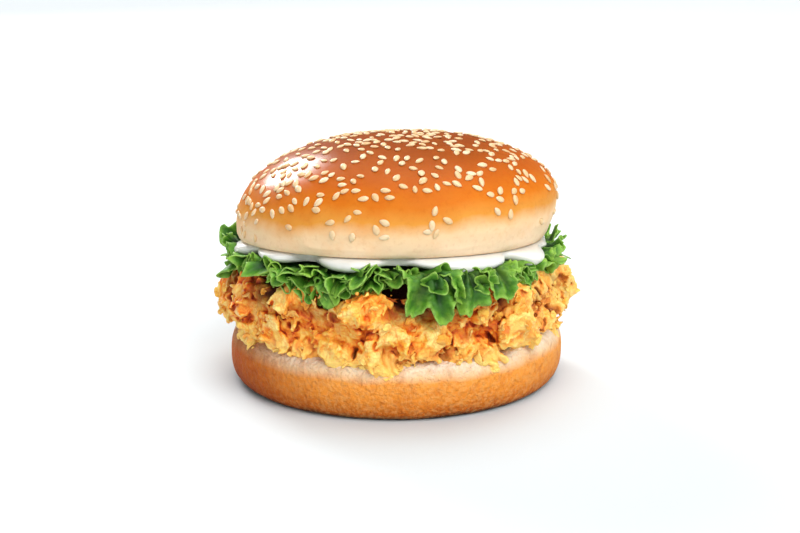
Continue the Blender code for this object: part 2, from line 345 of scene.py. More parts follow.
class FlakeField:
    # a box of voxels into which lumps and curled flakes are pressed one by one

    def __init__(self):
        step = crust["voxel"]
        low = np.array(filletLow) - crust["room"]
        high = np.array(filletHigh) + crust["room"]
        low[2], high[2] = crust["floor"], filletHigh.z + 0.0015
        self.low, self.step = low, step
        axes = [np.arange(low[i], high[i], step, dtype=np.float32) for i in range(3)]
        self.x, self.y, self.z = np.meshgrid(*axes, indexing="ij")
        self.field = meatField(self.x, self.y, self.z).astype(np.float32)
        self.plain = self.field.copy()
        near = np.abs(self.field) < 0.0085
        x, y, z = self.x[near], self.y[near], self.z[near]
        moved = [x.copy(), y.copy(), z.copy()]
        for size, reach, seed in crust["warp"]:
            for axis in range(3):
                moved[axis] += reach * lumps(x, y, z, size, seed + axis)
        for grid, values in zip((self.x, self.y, self.z), moved):
            grid[near] = values

    def local(self, centre, axes, reach):
        # the part of the box around centre, and its coordinates along the three axes
        first = np.maximum(((centre - reach - self.low) / self.step).astype(int), 0)
        last = np.minimum(((centre + reach - self.low) / self.step).astype(int) + 2, self.field.shape)
        if (last <= first).any():
            return None, None
        part = tuple(slice(a, b) for a, b in zip(first, last))
        dx, dy, dz = self.x[part] - centre[0], self.y[part] - centre[1], self.z[part] - centre[2]
        return part, [dx * axis[0] + dy * axis[1] + dz * axis[2] for axis in axes]

    def join(self, part, distance, blend):
        old = self.field[part]
        mix = np.clip(0.5 + 0.5 * (old - distance) / blend, 0, 1)
        self.field[part] = old + (distance - old) * mix - blend * mix * (1 - mix)

    def lump(self, centre, axes, sizes, blend):
        part, place = self.local(centre, axes, max(sizes) + 0.0025)
        if part is None:
            return
        near = np.sqrt(sum((value / size) ** 2 for value, size in zip(place, sizes))) + 1e-6
        steep = np.sqrt(sum((value / size**2) ** 2 for value, size in zip(place, sizes))) + 1e-3
        self.join(part, near * (near - 1) / steep, blend)

    def petal(self, centre, axes, size, narrow, thick, curl, waves, blend):
        # a round-edged flake, curled like a bowl, with a wavy rim
        part, place = self.local(centre, axes, size * 1.35 + 0.0025)
        if part is None:
            return
        u, v, w = place[0], place[1] / narrow, place[2]
        count, depth, phase = waves
        wave = np.sin(count * np.arctan2(v, u) + phase)
        reach = np.hypot(u, v)
        flat = (reach / size) ** 2
        w = w - size * flat * (curl + 0.45 * depth * np.roll(wave, 1, axis=0))
        past = np.maximum(reach - (size - thick) * (1 + depth * wave), 0)
        self.join(part, (np.hypot(past, w) - thick) * 0.9, blend)

    def pocket(self, centre, size):
        part, place = self.local(centre, np.eye(3), size + 0.0025)
        if part is None:
            return
        inside = size - np.sqrt(sum(value**2 for value in place))
        self.field[part] = np.maximum(self.field[part], inside)

    def puff(self):
        # swells every surface into rounded puffs with creases between them
        near = (self.field > -0.0012) & (self.field < 0.0032)
        x, y, z = self.x[near], self.y[near], self.z[near]
        for size, height, seed in crust["puffs"]:
            self.field[near] -= height * (np.abs(lumps(x, y, z, size, seed)) ** 0.7 - 0.25)

    def trim(self):
        # cuts off whatever would stand up through the lettuce
        ceiling = meatTop(self.x, self.y) + 0.0006 - 0.0042 * smooth(0.0, 0.0050, self.plain)
        self.field = np.maximum(self.field, (self.z - ceiling) * 0.9)

    def soften(self):
        # rounds every edge a little
        for axis in range(3):
            ahead, behind = np.roll(self.field, 1, axis), np.roll(self.field, -1, axis)
            self.field = 0.80 * self.field + 0.10 * (ahead + behind)

    def sample(self, grid, points):
        # the value of a grid at points
        scaled = (points - self.low) / self.step
        cell = np.clip(np.floor(scaled).astype(int), 0, np.array(grid.shape) - 2)
        share = np.clip(scaled - cell, 0, 1)
        total = 0.0
        for corner in np.ndindex(2, 2, 2):
            weight = np.prod(np.abs(1 - np.array(corner) - share), axis=1)
            total = total + weight * grid[tuple((cell + corner).T)]
        return total


def turnedAxes(normal, lean, spin, random, away=None):
    # three directions at right angles; the third leans off normal by lean degrees, against away or any way
    side = random.normal(size=3) if away is None else np.asarray(away, float)
    side = side - normal * (side @ normal)
    side /= np.linalg.norm(side)
    third = normal * math.cos(math.radians(lean)) - side * math.sin(math.radians(lean))
    second = np.cross(normal, side)
    first = np.cross(second, third)
    turn = math.radians(spin)
    along = first * math.cos(turn) + second * math.sin(turn)
    across = second * math.cos(turn) - first * math.sin(turn)
    return along, across, third


def placeClusters(random):
    # the named clusters, then more of them wherever there is still room
    clusters = [meatPoint(angle, level, out)[0] for angle, level, _, out in crust["clusters"]]
    sizes = [size for _, _, size, _ in crust["clusters"]]
    for _ in range(crust["clusterTries"]):
        centre, _ = meatPoint(*[random.uniform(*limits) for limits in crust["clusterLimits"]])
        if min(np.linalg.norm(centre - other) for other in clusters) > crust["clusterGap"]:
            clusters.append(centre)
            sizes.append(random.uniform(*crust["clusterSize"]))
    return list(zip(clusters, sizes))


def strewn(random, normal, spread):
    # a direction near normal
    way = normal + random.normal(size=3) * spread
    return way / np.linalg.norm(way)


def addFlake(shape, random, kind, centre, axes, **known):
    # one curled flake; what isn't known of it yet is drawn from its kind's limits
    kind = {**kind, **known}
    ripples = random.integers(*kind["ripples"])
    waves = (ripples, drawn(random, kind["ripple"]), random.uniform(0, 6.28))
    size, narrow, thick, curl = [drawn(random, kind[key]) for key in ("size", "narrow", "thick", "curl")]
    shape.petal(centre, axes, size, narrow, thick, curl, waves, kind["blend"])


def addLump(shape, random, spot, axes, size, kind):
    # one lump of the kind's proportions
    shares = np.array([drawn(random, share) for share in kind["shape"]])
    shape.lump(spot, axes, size * shares, kind["blend"])


def addCluster(shape, random, centre, size):
    # a rounded lump of batter, with florets, curled petals and grit grown all over it
    _, normal = meatPoint(math.degrees(math.atan2(centre[1], centre[0])), crust["belly"])
    heart = centre - normal * size * crust["clusterSunk"]
    axes = turnedAxes(normal, 0, random.uniform(0, 360), random)
    addLump(shape, random, heart, axes, size, crust["clusterHeart"])
    floret, petal, grit = crust["floret"], crust["petal"], crust["grit"]
    for _ in range(floret["count"]):
        way = strewn(random, normal, floret["spread"])
        grown = drawn(random, floret["size"])
        axes = turnedAxes(way, random.uniform(*floret["lean"]), random.uniform(0, 360), random)
        spot = heart + way * size * random.uniform(*floret["out"])
        addLump(shape, random, spot, axes, grown, floret)
    for _ in range(petal["count"]):
        way = strewn(random, normal, petal["spread"])
        if way @ normal < -0.1:
            continue
        aside = math.degrees(math.acos(min(1.0, way @ normal)))
        spot = heart + way * size * random.uniform(*petal["out"])
        grown = drawn(random, petal["size"])
        lean, spin = random.uniform(*petal["lean"]) + 0.25 * aside, random.uniform(*petal["spin"])
        away = way - normal * 0.98 + random.normal(size=3) * 0.25
        addFlake(shape, random, petal, spot, turnedAxes(way, lean, spin, random, away), size=grown)
    for _ in range(grit["count"]):
        way = strewn(random, normal, grit["spread"])
        grown = drawn(random, grit["size"])
        spot = heart + way * size * random.uniform(*grit["out"])
        addLump(shape, random, spot, turnedAxes(way, grit["lean"], 0, random), grown, grit)


def addScattered(shape, random, kind):
    # flakes of one kind all over the fillet
    for _ in range(kind["count"]):
        angle = random.uniform(-180, 180)
        level, out = random.uniform(*kind["level"]), random.uniform(*kind["out"])
        centre, normal = meatPoint(angle, level, out)
        lean, spin = random.uniform(*kind["lean"]), random.uniform(*kind["spin"])
        addFlake(shape, random, kind, centre, turnedAxes(normal, lean, spin, random, kind["away"]))


def makeFillet(material):
    random = np.random.default_rng(crust["seed"])
    shape = FlakeField()
    clusters = placeClusters(random)
    plates = list(crust["plates"])
    for _ in range(crust["morePlates"]):
        plates.append([random.uniform(*limits) for limits in crust["plateLimits"]])
    pale = []
    for angle, level, size, narrow, lean in plates:
        centre, normal = meatPoint(angle, level, crust["plateOut"])
        axes = turnedAxes(normal, lean, random.uniform(-35, 35), random, (0.0, 0.0, -1.0))
        addFlake(shape, random, crust["plate"], centre, axes, size=size, narrow=narrow)
        pale.append((centre, size))
    for centre, size in clusters:
        addCluster(shape, random, centre, size)
    addScattered(shape, random, crust["stray"])
    addScattered(shape, random, crust["fringe"])
    for angle, level, size in crust["pockets"]:
        shape.pocket(meatPoint(angle, level, 0.0012)[0], size)
    shape.puff()
    shape.trim()
    shape.soften()
    grid = openvdb.FloatGrid(float(shape.step * 3))
    grid.copyFromArray(shape.field)
    points, _, quads = grid.convertToPolygons(isovalue=0.0, adaptivity=0.0)
    points = points * shape.step + shape.low
    piece = makeObject("crispFillet", points, quads, material)
    applyModifier(piece, "DECIMATE", ratio=crust["triangles"] / (2 * len(quads)))
    addCrustLooks(piece, shape, pale)
    settle(piece, "crust", "chicken_fillet")
    return piece


def addCrustLooks(piece, shape, pale):
    # hollowShade and deep: how far a spot lies down between flakes, and between clusters; the crust's
    # colour paints shade by both
    # proud: how far it stands off the meat, in mm; pale: 1 at the middle of a large flake
    spots, away = skinOf(piece)
    shutInShade = {}
    for key in ("hollowShade", "deep"):
        shutInShade[key] = sum(
            share * np.clip(1 - shape.sample(shape.field, spots + away * reach) / reach, 0, 1)
            for reach, share in crust[key])
    proud = shape.sample(shape.plain, spots) * 1000
    light = np.zeros(len(spots))
    for centre, size in pale:
        light = np.maximum(light, 1 - smooth(0.5, 1.15, np.linalg.norm(spots - centre, axis=1) / size))
    addAttributes(piece.data, {**shutInShade, "proud": proud, "pale": light})


# Thin loose flakes that stand on the crust.
flakes = {
    "count": 260,
    "size": (0.0009, 0.0022),
    "thickness": 0.00036,
    "inner": 0.047,  # least distance from the middle
    "below": 0.0070,  # this far under the lettuce
    "rings": 4,
    "around": 12,
    "seed": 44,
}


def flakeShape(random, size):
    # a curled, ragged disc; its middle lies at the origin
    around = np.linspace(0, 2 * np.pi, flakes["around"], endpoint=False)
    ragged = 1.0
    for deep, count in ((0.16, 2), (0.10, 5)):
        ragged = ragged + deep * np.sin(count * around + random.uniform(0, 6))
    ragged = ragged + random.uniform(-0.10, 0.10, flakes["around"])
    narrow, curl, twist = random.uniform(0.55, 0.95), random.uniform(0.15, 0.55), random.uniform(-0.4, 0.4)
    rings = []
    for share in np.linspace(0, 1, flakes["rings"] + 1)[1:]:
        x, y = np.cos(around) * share * ragged, np.sin(around) * share * ragged * narrow
        z = curl * x**2 * np.sign(twist) + twist * x * y + 0.10 * share * np.sin(3 * around + curl * 20)
        rings.append(np.stack([x, y, z], -1) * size)
    points = np.concatenate([[[0, 0, 0]]] + rings)
    count = flakes["around"]
    faces = (gridFaces(flakes["rings"], count, wrap=True) + 1).tolist()
    faces += [[0, 1 + (i + 1) % count, 1 + i] for i in range(count)]
    return points, faces


def makeFlakes(fillet, material):
    random = np.random.default_rng(flakes["seed"])
    spots, away = [values.astype(float) for values in skinOf(fillet)]
    proud = np.empty(len(spots), np.float32)
    fillet.data.attributes["proud"].data.foreach_get("value", proud)
    # only on the open sides, clear of the lettuce and of the underside
    outside = np.hypot(spots[:, 0], spots[:, 1]) > flakes["inner"]
    below = spots[:, 2] < meatTop(spots[:, 0], spots[:, 1]) - flakes["below"]
    choice = random.permutation(np.flatnonzero((proud > 1.2) & outside & below & (away[:, 2] > -0.75)))
    points, faces, tints, offset = [], [], [], 0
    for index in choice[: flakes["count"]]:
        low, high = flakes["size"]
        size = low + (high - low) * random.random() ** 2
        shape, shapeFaces = flakeShape(random, size)
        axes = turnedAxes(away[index], random.uniform(10, 70), random.uniform(0, 360), random)
        centre = spots[index] + away[index] * random.uniform(0.0000, 0.0004)
        points.append(centre + shape @ np.array(axes))
        faces += [[corner + offset for corner in face] for face in shapeFaces]
        # each loose flake takes a random place on the crust's painted-shade ramp
        tints.append(np.full(len(shape), random.uniform(0.0, 0.45)))
        offset += len(shape)
    looks = {"hollowShade": np.concatenate(tints), "deep": np.zeros(offset), "proud": np.full(offset, 5.0),
             "pale": np.zeros(offset)}
    piece = makeObject("looseFlakes", np.concatenate(points), faces, material, None, looks)
    applyModifier(piece, "SOLIDIFY", thickness=flakes["thickness"], offset=0.0)
    settle(piece, "crust")
    return piece


# Lettuce, in the stack's frame.
lettuce = {
    "thickness": 0.00034,
    "root": 0.0340,  # radius at which the modelled part of a leaf begins
    "fold": 0.0430,  # radius at which its frill begins
    "bed": -0.0041,
    "rows": 13,
    "step": 0.00024,  # along the leaf's inner edge, between columns
    "frillStart": 0.18,  # share of the way out
    "sheets": (  # reach and drop are added to the leaf's own; wild scales the ruffles
        {"reach": -0.0020, "drop": 0.0008, "lift": 0.0000, "wild": 1.00, "seed": 1},
        {"reach": -0.0040, "drop": 0.0030, "lift": 0.0002, "wild": 0.95, "seed": 7},
    ),
    "ruffles": (  # length, greatest slope in degrees, share of the frill at which it starts, drift, seed
        (0.0150, 22, 0.00, 0.8, 3),
        (0.0062, 92, 0.00, 0.85, 5),
        (0.0026, 50, 0.30, 0.9, 9),
    ),
    "teeth": (0.0024, 0.0006),  # length and height of the small teeth along the rim
    "fans": (  # frilled lobes of the leaf, tier by tier; dips are degrees below level at stem and rim
        {"gap": 7.5, "radius": 0.0455, "height": -0.0050, "size": (0.0095, 0.0125), "dips": (-2, (0, 32)),
         "hangs": False, "seed": 3},
        {"gap": 7.0, "radius": 0.0468, "height": -0.0062, "size": (0.0080, 0.0108), "dips": (8, (38, 76)),
         "hangs": True, "seed": 5},
    ),
    # degrees either side, points, waves, depth as a share of the size, turn and roll in degrees
    "fan": {"spread": (62, 88), "points": (1.6, 2.8), "waves": (2.4, 3.6), "depth": (0.08, 0.19),
            "turn": (-28, 28), "roll": (-22, 22)},
    "fanGrid": (13, 60),
    "lobeGrid": (32, 110),
    "cupGrid": (14, 54),
    "clearance": 0.0022,  # between the leaves' middle and the smooth fillet
}

# swells: middle angle, half width, extra reach, extra drop
# curls: angle, radius, height, size, tip in degrees, seed
# raised: fans that rise beside the crown: angle, radius, size, dip at the stem, dip at the rim
# bare: no hanging fans between these angles; open: no fans of any tier
plainLeaf = {
    "coarse": 1.1,
    "reach": 0.0562,
    "drop": 0.0030,
    "curls": (),
    "raised": (),
    "open": (0, 0),
    "lobes": (),
}
leaves = {
    "lettuce_front_left": {
        "seed": 100,
        "coarse": 1.0,
        "ends": (-166, -92),
        "swells": ((-148, 16, 0.0005, -0.0020), (-113, 14, 0.0008, 0.0018), (-96, 9, 0.0000, -0.0012)),
        "bare": (-166, -137),
    },
    "lettuce_front_right": {
        "seed": 200,
        "coarse": 1.05,
        "ends": (-94, -34),
        "curls": ((-78.6, 0.0562, -0.0072, 0.0036, 18, 3), (-63.5, 0.0558, -0.0078, 0.0030, 10, 4)),
        "swells": ((-40, 14, 0.0005, -0.0020), (-72, 17, 0.0000, -0.0038)),
        "bare": (-96, -54),
        "open": (-84, -62),
        "lobes": (
            {
                "at": (-79.4, 0.0516, -0.0046),  # angle, radius, height of its stem
                # heading, half width, length
                "fingers": ((-21, 29, 0.0168), (12, 20, 0.0212), (38, 22, 0.0145)),
                "base": 0.0100,
                "slope": (-8, 88, 0.0100),  # at the stem, at the tip, how soon it bends
                "seed": 31,
            },
            {
                "at": (-66.8, 0.0516, -0.0046),
                "fingers": ((-20, 26, 0.0136), (6, 28, 0.0148), (34, 24, 0.0122)),
                "base": 0.0095,
                "slope": (-6, 86, 0.0095),
                "seed": 37,
            },
            {
                "at": (-56.5, 0.0514, -0.0044),
                "fingers": ((-14, 26, 0.0118), (14, 22, 0.0128)),
                "base": 0.0080,
                "slope": (-2, 80, 0.0090),
                "seed": 39,
            },
        ),
    },
    "lettuce_right": {
        "seed": 300,
        "coarse": 1.35,
        "ends": (-38, 42),
        "swells": ((-30, 14, 0.0000, -0.0020), (4, 24, -0.0012, 0.0000)),
        "raised": (
            (9, 0.0482, 0.0092, -10, -62),
            (-5, 0.0484, 0.0086, -8, -44),
            (22, 0.0490, 0.0088, -8, -50),
        ),
        "bare": (-38, -14),
    },
    "lettuce_back": {
        "seed": 400,
        "ends": (40, 120),
        "reach": 0.0565,
        "drop": 0.0040,
        "curls": ((84, 0.0560, -0.0074, 0.0026, 10, 8),),
        "swells": ((60, 12, 0.0008, 0.0020), (98, 14, 0.0008, 0.0030)),
        "raised": ((52, 0.0505, 0.0085, -8, -44), (108, 0.0505, 0.0090, -8, -52)),
        "bare": (77, 91),
        "lobes": (
            {
                "at": (84.0, 0.0500, -0.0046),
                "fingers": ((-18, 22, 0.0170), (8, 18, 0.0215), (34, 20, 0.0150)),
                "base": 0.0085,
                "slope": (-6, 86, 0.0095),
                "seed": 41,
            },
        ),
    },
    "lettuce_left": {
        "seed": 500,
        "coarse": 1.35,
        "ends": (118, 196),
        "reach": 0.0572,
        "swells": ((140, 12, 0.0000, 0.0020), (186, 12, 0.0010, 0.0000)),
        "raised": (
            (168, 0.0500, 0.0110, -16, -80),
            (178, 0.0510, 0.0088, -8, -40),
            (150, 0.0500, 0.0085, -8, -48),
        ),
        "bare": (150, 152),
    },
}


def wobble(along, size, seed):
    return lumps(along, along * 0 + 0.3, along * 0 + 0.7, size, seed)


def swelling(leaf, angle, place):
    return sum(hump(angle, *swell[:2]) * swell[place] for swell in leaf["swells"])


def ruffledSheet(leaf, sheet):
    # a strip whose rows grow longer towards the edge, so that it has to fold into ruffles
    start, end = leaf["ends"]
    inner = math.radians(end - start) * lettuce["fold"]
    along = np.arange(0, inner, lettuce["step"])
    ease = smooth(0, 0.06, np.minimum(along, inner - along) / inner)
    points, looks = [], []
    frillStart = lettuce["frillStart"]
    for out in np.linspace(0, 1, lettuce["rows"]) ** 0.8:
        frill = max(0.0, (out - frillStart) / (1 - frillStart))
        slope = 0.0
        for length, steepest, begins, drift, seed in lettuce["ruffles"]:
            length = length * leaf["coarse"]
            key = seed * 10 + sheet["seed"] + leaf["seed"]
            phase = 2 * np.pi * along / length + drift * 2.4 * wobble(along, length * 1.7, key)
            strength = np.clip(0.88 + 0.28 * wobble(along, length * 2.3, key + 4), 0.5, 1.12)
            grown = float(smooth(begins, begins + 0.6, frill)) * sheet["wild"]
            slope = slope + math.radians(steepest) * grown * strength * np.sin(phase)
        forward, up = np.cumsum(np.cos(slope)), np.cumsum(np.sin(slope))
        stretch = inner / forward[-1]
        forward, up = forward * stretch, up * stretch
        trend = np.convolve(np.pad(up, 75, mode="edge"), np.ones(151) / 151, mode="valid")
        up = (up - trend * 0.75) * (0.5 + 0.5 * ease)
        angle = start + (end - start) * forward / inner
        reach = leaf["reach"] + sheet["reach"] + swelling(leaf, angle, 2) - 0.004 * (1 - ease)
        reach = reach + 0.0012 * wobble(along, 0.006, 40 + sheet["seed"])
        toothLength, toothHeight = lettuce["teeth"]
        teeth = np.abs(np.sin(np.pi * along / toothLength + 3 * wobble(along, 0.004, 77 + leaf["seed"])))
        toothShare = 0.5 + 0.5 * wobble(along, 0.005, 78)
        reach = reach - smooth(0.80, 1.0, out) * toothHeight * 2 * teeth * toothShare
        radius = lettuce["root"] + (lettuce["fold"] - lettuce["root"]) * min(1.0, out / frillStart)
        radius = radius + (reach - lettuce["fold"]) * math.sin(frill * math.pi / 2) ** 0.85
        drop = leaf["drop"] + sheet["drop"] + swelling(leaf, angle, 3)
        height = lettuce["bed"] + sheet["lift"] - drop * float(smooth(0, 0.75, frill)) + up
        points.append(ringed(np.radians(angle), radius, height))
        looks.append(np.full(len(along), out))
    return np.concatenate(points), gridFaces(lettuce["rows"], len(along)), np.concatenate(looks)


def bentPath(length, first, last, bend):
    # a path that starts at one slope and turns to the other: distance along it, slope, way out and way down
    path = np.linspace(0, length, round(length * 10000))
    dip = np.radians(first + (last - first) * smooth(0, bend, path))
    return path, dip, np.cumsum(np.cos(dip)) * path[1], np.cumsum(np.sin(dip)) * path[1]


def frilledFan(fan):
    # a lobe of the leaf: a fan with a pointed, frilled rim that bends down as it reaches out
    random = np.random.default_rng(fan["seed"])
    limits = lettuce["fan"]
    rows, columns = lettuce["fanGrid"]
    across = np.linspace(-1, 1, columns)
    spread = random.uniform(*limits["spread"])
    points = random.uniform(*limits["points"])
    shift = random.uniform(0, 1)
    pointed = (1 - np.abs(np.sin(np.pi * (points * across * 0.5 + shift)))) ** 1.2
    small = (1 - np.abs(np.sin(np.pi * (points * 1.9 * across + shift * 3)))) ** 1.2
    reach = fan["size"] * (0.68 + 0.10 * np.cos(across * 1.5) + fan["pointed"] * pointed + 0.10 * small)
    waves = random.uniform(*limits["waves"])
    phase = np.pi * waves * across + random.uniform(0, 6.28)
    phase = phase + 1.3 * wobble(across * 0.01, 0.006, fan["seed"])
    depth = fan["size"] * random.uniform(*limits["depth"])
    turn = math.radians(fan["angle"])
    heading = math.radians(random.uniform(*limits["turn"]))
    outward, sideways, upward = compass(turn + heading)
    stem = compass(turn)[0] * fan["radius"] + upward * fan["height"]
    path, dip, outPath, downPath = bentPath(0.03, *fan["dips"], fan["size"] * 0.85)
    roll = math.radians(random.uniform(*limits["roll"]))
    points, looks = [], []
    for share in np.linspace(0.06, 1, rows):
        angle = np.radians(spread * across) - 0.16 * share**2 * np.sin(2 * phase) / waves * 2
        ahead, side = share * reach * np.cos(angle), share * reach * np.sin(angle)
        lift = depth * share**1.4 * (np.sin(phase) + 0.42 * share * np.sin(2.3 * phase + fan["seed"]))
        side, lift = (side * math.cos(roll) - lift * math.sin(roll),
                      lift * math.cos(roll) + side * math.sin(roll))
        ahead = np.maximum(ahead, 0)
        tilt = np.interp(ahead, path, dip)
        out = np.interp(ahead, path, outPath) + lift * np.sin(tilt)
        rise = lift * np.cos(tilt) - np.interp(ahead, path, downPath)
        points.append(stem + outward * out[:, None] + sideways * side[:, None] + upward * rise[:, None])
        looks.append(np.full(columns, 0.13 + 0.67 * share**1.25 + 0.20 * smooth(0.84, 1, share)))
    return np.concatenate(points), gridFaces(rows, columns), np.concatenate(looks)


def leafFans(leaf):
    random = np.random.default_rng(leaf["seed"])
    fans = []
    for tier in lettuce["fans"]:
        start, end = leaf["ends"]
        for angle in np.arange(start + 3, end - 2, tier["gap"]):
            angle = angle + random.uniform(-2.2, 2.2)
            if tier["hangs"] and leaf["bare"][0] < angle < leaf["bare"][1]:
                continue
            if leaf["open"][0] < angle < leaf["open"][1]:
                continue
            further, more = float(swelling(leaf, angle, 2)), float(swelling(leaf, angle, 3))
            low, high = tier["size"]
            first, (flat, steep) = tier["dips"]
            fans.append(frilledFan({
                "angle": angle,
                "radius": tier["radius"] + random.uniform(-0.0012, 0.0012) + further,
                "height": tier["height"] + random.uniform(-0.0006, 0.0006) - 0.25 * more,
                "size": random.uniform(low, high) + 0.6 * more,
                "dips": (first, random.uniform(flat, steep)),
                "pointed": 0.36,
                "seed": int(leaf["seed"] * 10 + tier["seed"] * 100 + len(fans)),
            }))
    for angle, radius, size, first, last in leaf["raised"]:
        fans.append(frilledFan({
            "angle": angle,
            "radius": radius,
            "height": lettuce["bed"],
            "size": size,
            "dips": (first, last),
            "pointed": 0.22,
            "seed": leaf["seed"] + len(fans),
        }))
    return fans


def hangingLobe(lobe):
    # a fan of pointed fingers that bends over the edge and hangs, grooved along each finger
    rows, columns = lettuce["lobeGrid"]
    heading = np.linspace(-95, 95, columns)
    reach = lobe["base"] + sum((length - lobe["base"]) * hump(heading, middle, half) ** 0.8
                               for middle, half, length in lobe["fingers"])
    reach = reach * (1 + 0.06 * wobble(heading * 0.001, 0.009, lobe["seed"]))
    reach = reach * (1 + 0.05 * wobble(heading * 0.001, 0.0042, lobe["seed"] + 9))
    groove = sum(hump(heading, middle, half * 0.6) for middle, half, _ in lobe["fingers"])
    angle, radius, stemHeight = lobe["at"]
    outward, sideways, upward = compass(math.radians(angle))
    path, dip, outPath, downPath = bentPath(0.04, *lobe["slope"])
    points, looks = [], []
    for share in np.linspace(0.02, 1, rows):
        across = share * reach * np.sin(np.radians(heading))
        down = np.maximum(share * reach * np.cos(np.radians(heading)), 0)
        tilt = np.interp(down, path, dip)
        lift = -0.0030 * groove * share * (1.1 - 0.5 * share)
        lift = lift + 0.0009 * smooth(0.5, 1, share) * wobble(heading * 0.001, 0.011, lobe["seed"] + 5)
        lift = lift + 0.0005 * np.sin(down * 2600 + lobe["seed"]) * share * (1 - groove)
        dimples = lumps(across, down, down * 0, 0.0042, lobe["seed"] + 3)
        lift = lift + 0.0008 * smooth(0.1, 0.4, share) * dimples
        lift = lift + 0.0014 * smooth(0.72, 1.0, share) * (1 - groove)
        out = radius + np.interp(down, path, outPath) + lift * np.sin(tilt)
        height = stemHeight - np.interp(down, path, downPath) + lift * np.cos(tilt)
        points.append(outward * out[:, None] + sideways * across[:, None] + upward * height[:, None])
        look = 0.36 + 0.42 * share + 0.22 * smooth(0.80, 1, share)
        # painted shade along each finger's groove
        looks.append(look - 0.18 * groove * share * (1 - share) * 4)
    return np.concatenate(points), gridFaces(rows, columns), np.concatenate(looks)


def curledCup(angle, radius, height, size, tip, seed):
    # a rolled-up end of the frill: a wavy cup that opens outwards
    rows, columns = lettuce["cupGrid"]
    around = np.linspace(0, 2 * np.pi, columns, endpoint=False)
    outward, sideways, upward = compass(math.radians(angle))
    lean = math.radians(tip)
    facing = outward * math.cos(lean) + upward * math.sin(lean)
    above = upward * math.cos(lean) - outward * math.sin(lean)
    centre = outward * radius + upward * height
    points, looks = [], []
    for share in np.linspace(0, 1, rows):
        wave = 1 + share * (0.22 * np.sin(2 * around + seed) + 0.16 * np.sin(5 * around + 2 * seed))
        reach = size * (0.04 + 0.96 * share**0.8) * wave
        depth = size * (0.70 * share**1.6 + 0.30 * share * np.sin(3 * around + 3 * seed)
                        + 0.14 * share**2 * np.sin(7 * around + seed))
        points.append(centre + facing * depth[:, None] + sideways * (reach * np.cos(around))[:, None]
                      + above * (reach * 0.8 * np.sin(around))[:, None])
        looks.append(np.full(columns, 0.24 + 0.62 * share + 0.14 * smooth(0.8, 1, share)))
    return np.concatenate(points), gridFaces(rows, columns, wrap=True), np.concatenate(looks)


def keepBetween(points):
    # pushes points off the fillet and down from under the crown and the sauce
    world = moved(points, stackMatrix)
    for _ in range(4):
        x, y, z = world.T
        gap = meatField(x, y, z) - lettuce["clearance"]
        step = 0.0004
        away = np.stack([
            meatField(x + step, y, z) - meatField(x - step, y, z),
            meatField(x, y + step, z) - meatField(x, y - step, z),
            meatField(x, y, z + step) - meatField(x, y, z - step),
        ], -1)
        away /= np.linalg.norm(away, axis=1)[:, None] + 1e-9
        world = world + away * np.clip(-gap, 0, 0.004)[:, None]
    points = moved(world, stackMatrix.inverted())
    radius = np.hypot(points[:, 0], points[:, 1])
    under = -stack["sauceDepth"] - 0.0004
    free = smooth(stack["crownRadius"] - 0.001, stack["crownRadius"] + 0.004, radius)
    points[:, 2] = np.minimum(points[:, 2], under + (0.02 - under) * free)
    return points


def makeLeaf(name, material):
    leaf = {**plainLeaf, **leaves[name]}
    parts = [ruffledSheet(leaf, sheet) for sheet in lettuce["sheets"]]
    parts += leafFans(leaf)
    parts += [hangingLobe(lobe) for lobe in leaf["lobes"]]
    parts += [curledCup(*curl) for curl in leaf["curls"]]
    points, faces, looks, offset = [], [], [], 0
    for partPoints, partFaces, partLooks in parts:
        points.append(keepBetween(partPoints))
        faces.append(partFaces + offset)
        looks.append(partLooks)
        offset += len(partPoints)
    piece = makeObject(
        name.replace("lettuce_", "frill_"), np.concatenate(points), np.concatenate(faces), material,
        stackMatrix, {"outward": np.concatenate(looks)},
    )
    applyModifier(piece, "SOLIDIFY", thickness=lettuce["thickness"], offset=0.0)
    settle(piece, "lettuce", name)
    return piece


# Crown, in the stack's frame: its cut face lies at height 0.
crown = {
    "height": 0.0338,
    "waist": 0.0088,  # height of its widest ring
    "fullness": 2.1,  # 2 is an elliptical dome, more is fuller
    "sideways": 0.90,  # share by which the tuck grows at the right and shrinks at the left
    "lift": 0.55,  # the same for the height of the widest ring
    "rows": (14, 20, 56),  # over the cut face, the rim and the dome
    "columns": 360,
    "cutRound": 0.0012,  # rounding where the cut face meets the rim
    "swells": ((0.060, 0.00045, 8), (0.021, 0.00022, 14), (0.0085, 0.00007, 15)),  # size, height, seed
    "dents": 0.00030,  # depth of the soft creases in the pale rim
}


def crownProfile(share, side):
    # radius and height along the outside: share 0 is the cut face's edge, 1 the waist, 2 the top
    tuck = stack["crownTuck"] * (1 + crown["sideways"] * side)
    rim = np.clip(share, 0, 1)
    turn = np.clip(share - 1, 0, 1) * np.pi / 2
    power = 2 / crown["fullness"]
    radius = stack["crownRadius"] - tuck * (1 - rim) ** 2
    radius = np.where(share > 1, stack["crownRadius"] * np.maximum(np.cos(turn), 0) ** power, radius)
    waist = crown["waist"] * (1 + crown["lift"] * side)
    rise = waist * rim + (crown["height"] - waist) * np.sin(turn) ** power
    return radius, rise


def crownPoints(angle, share):
    # points of the crown's skin, with its swells and creases
    angle, share = np.broadcast_arrays(np.asarray(angle, float), np.asarray(share, float))
    turn = np.radians(angle)
    spot = ringed(turn, *crownProfile(share, np.cos(turn)))
    x, y, z = np.moveaxis(spot, -1, 0)
    bulge = sum(depth * lumps(x, y, z, size, seed) for size, depth, seed in crown["swells"])
    low = smooth(0, 0.25, share) * (1 - smooth(0.8, 1.25, share))
    bulge = bulge - crown["dents"] * low * np.abs(lumps(x, y, z * 2.4, 0.010, 19))
    way = spot / np.array([1, 1, 0.55]) - np.array([0, 0, crown["waist"] / 0.55])
    way[..., 2] = np.where(share < 1, 0, way[..., 2])
    way /= np.linalg.norm(way, axis=-1)[..., None] + 1e-9
    return spot + way * bulge[..., None]


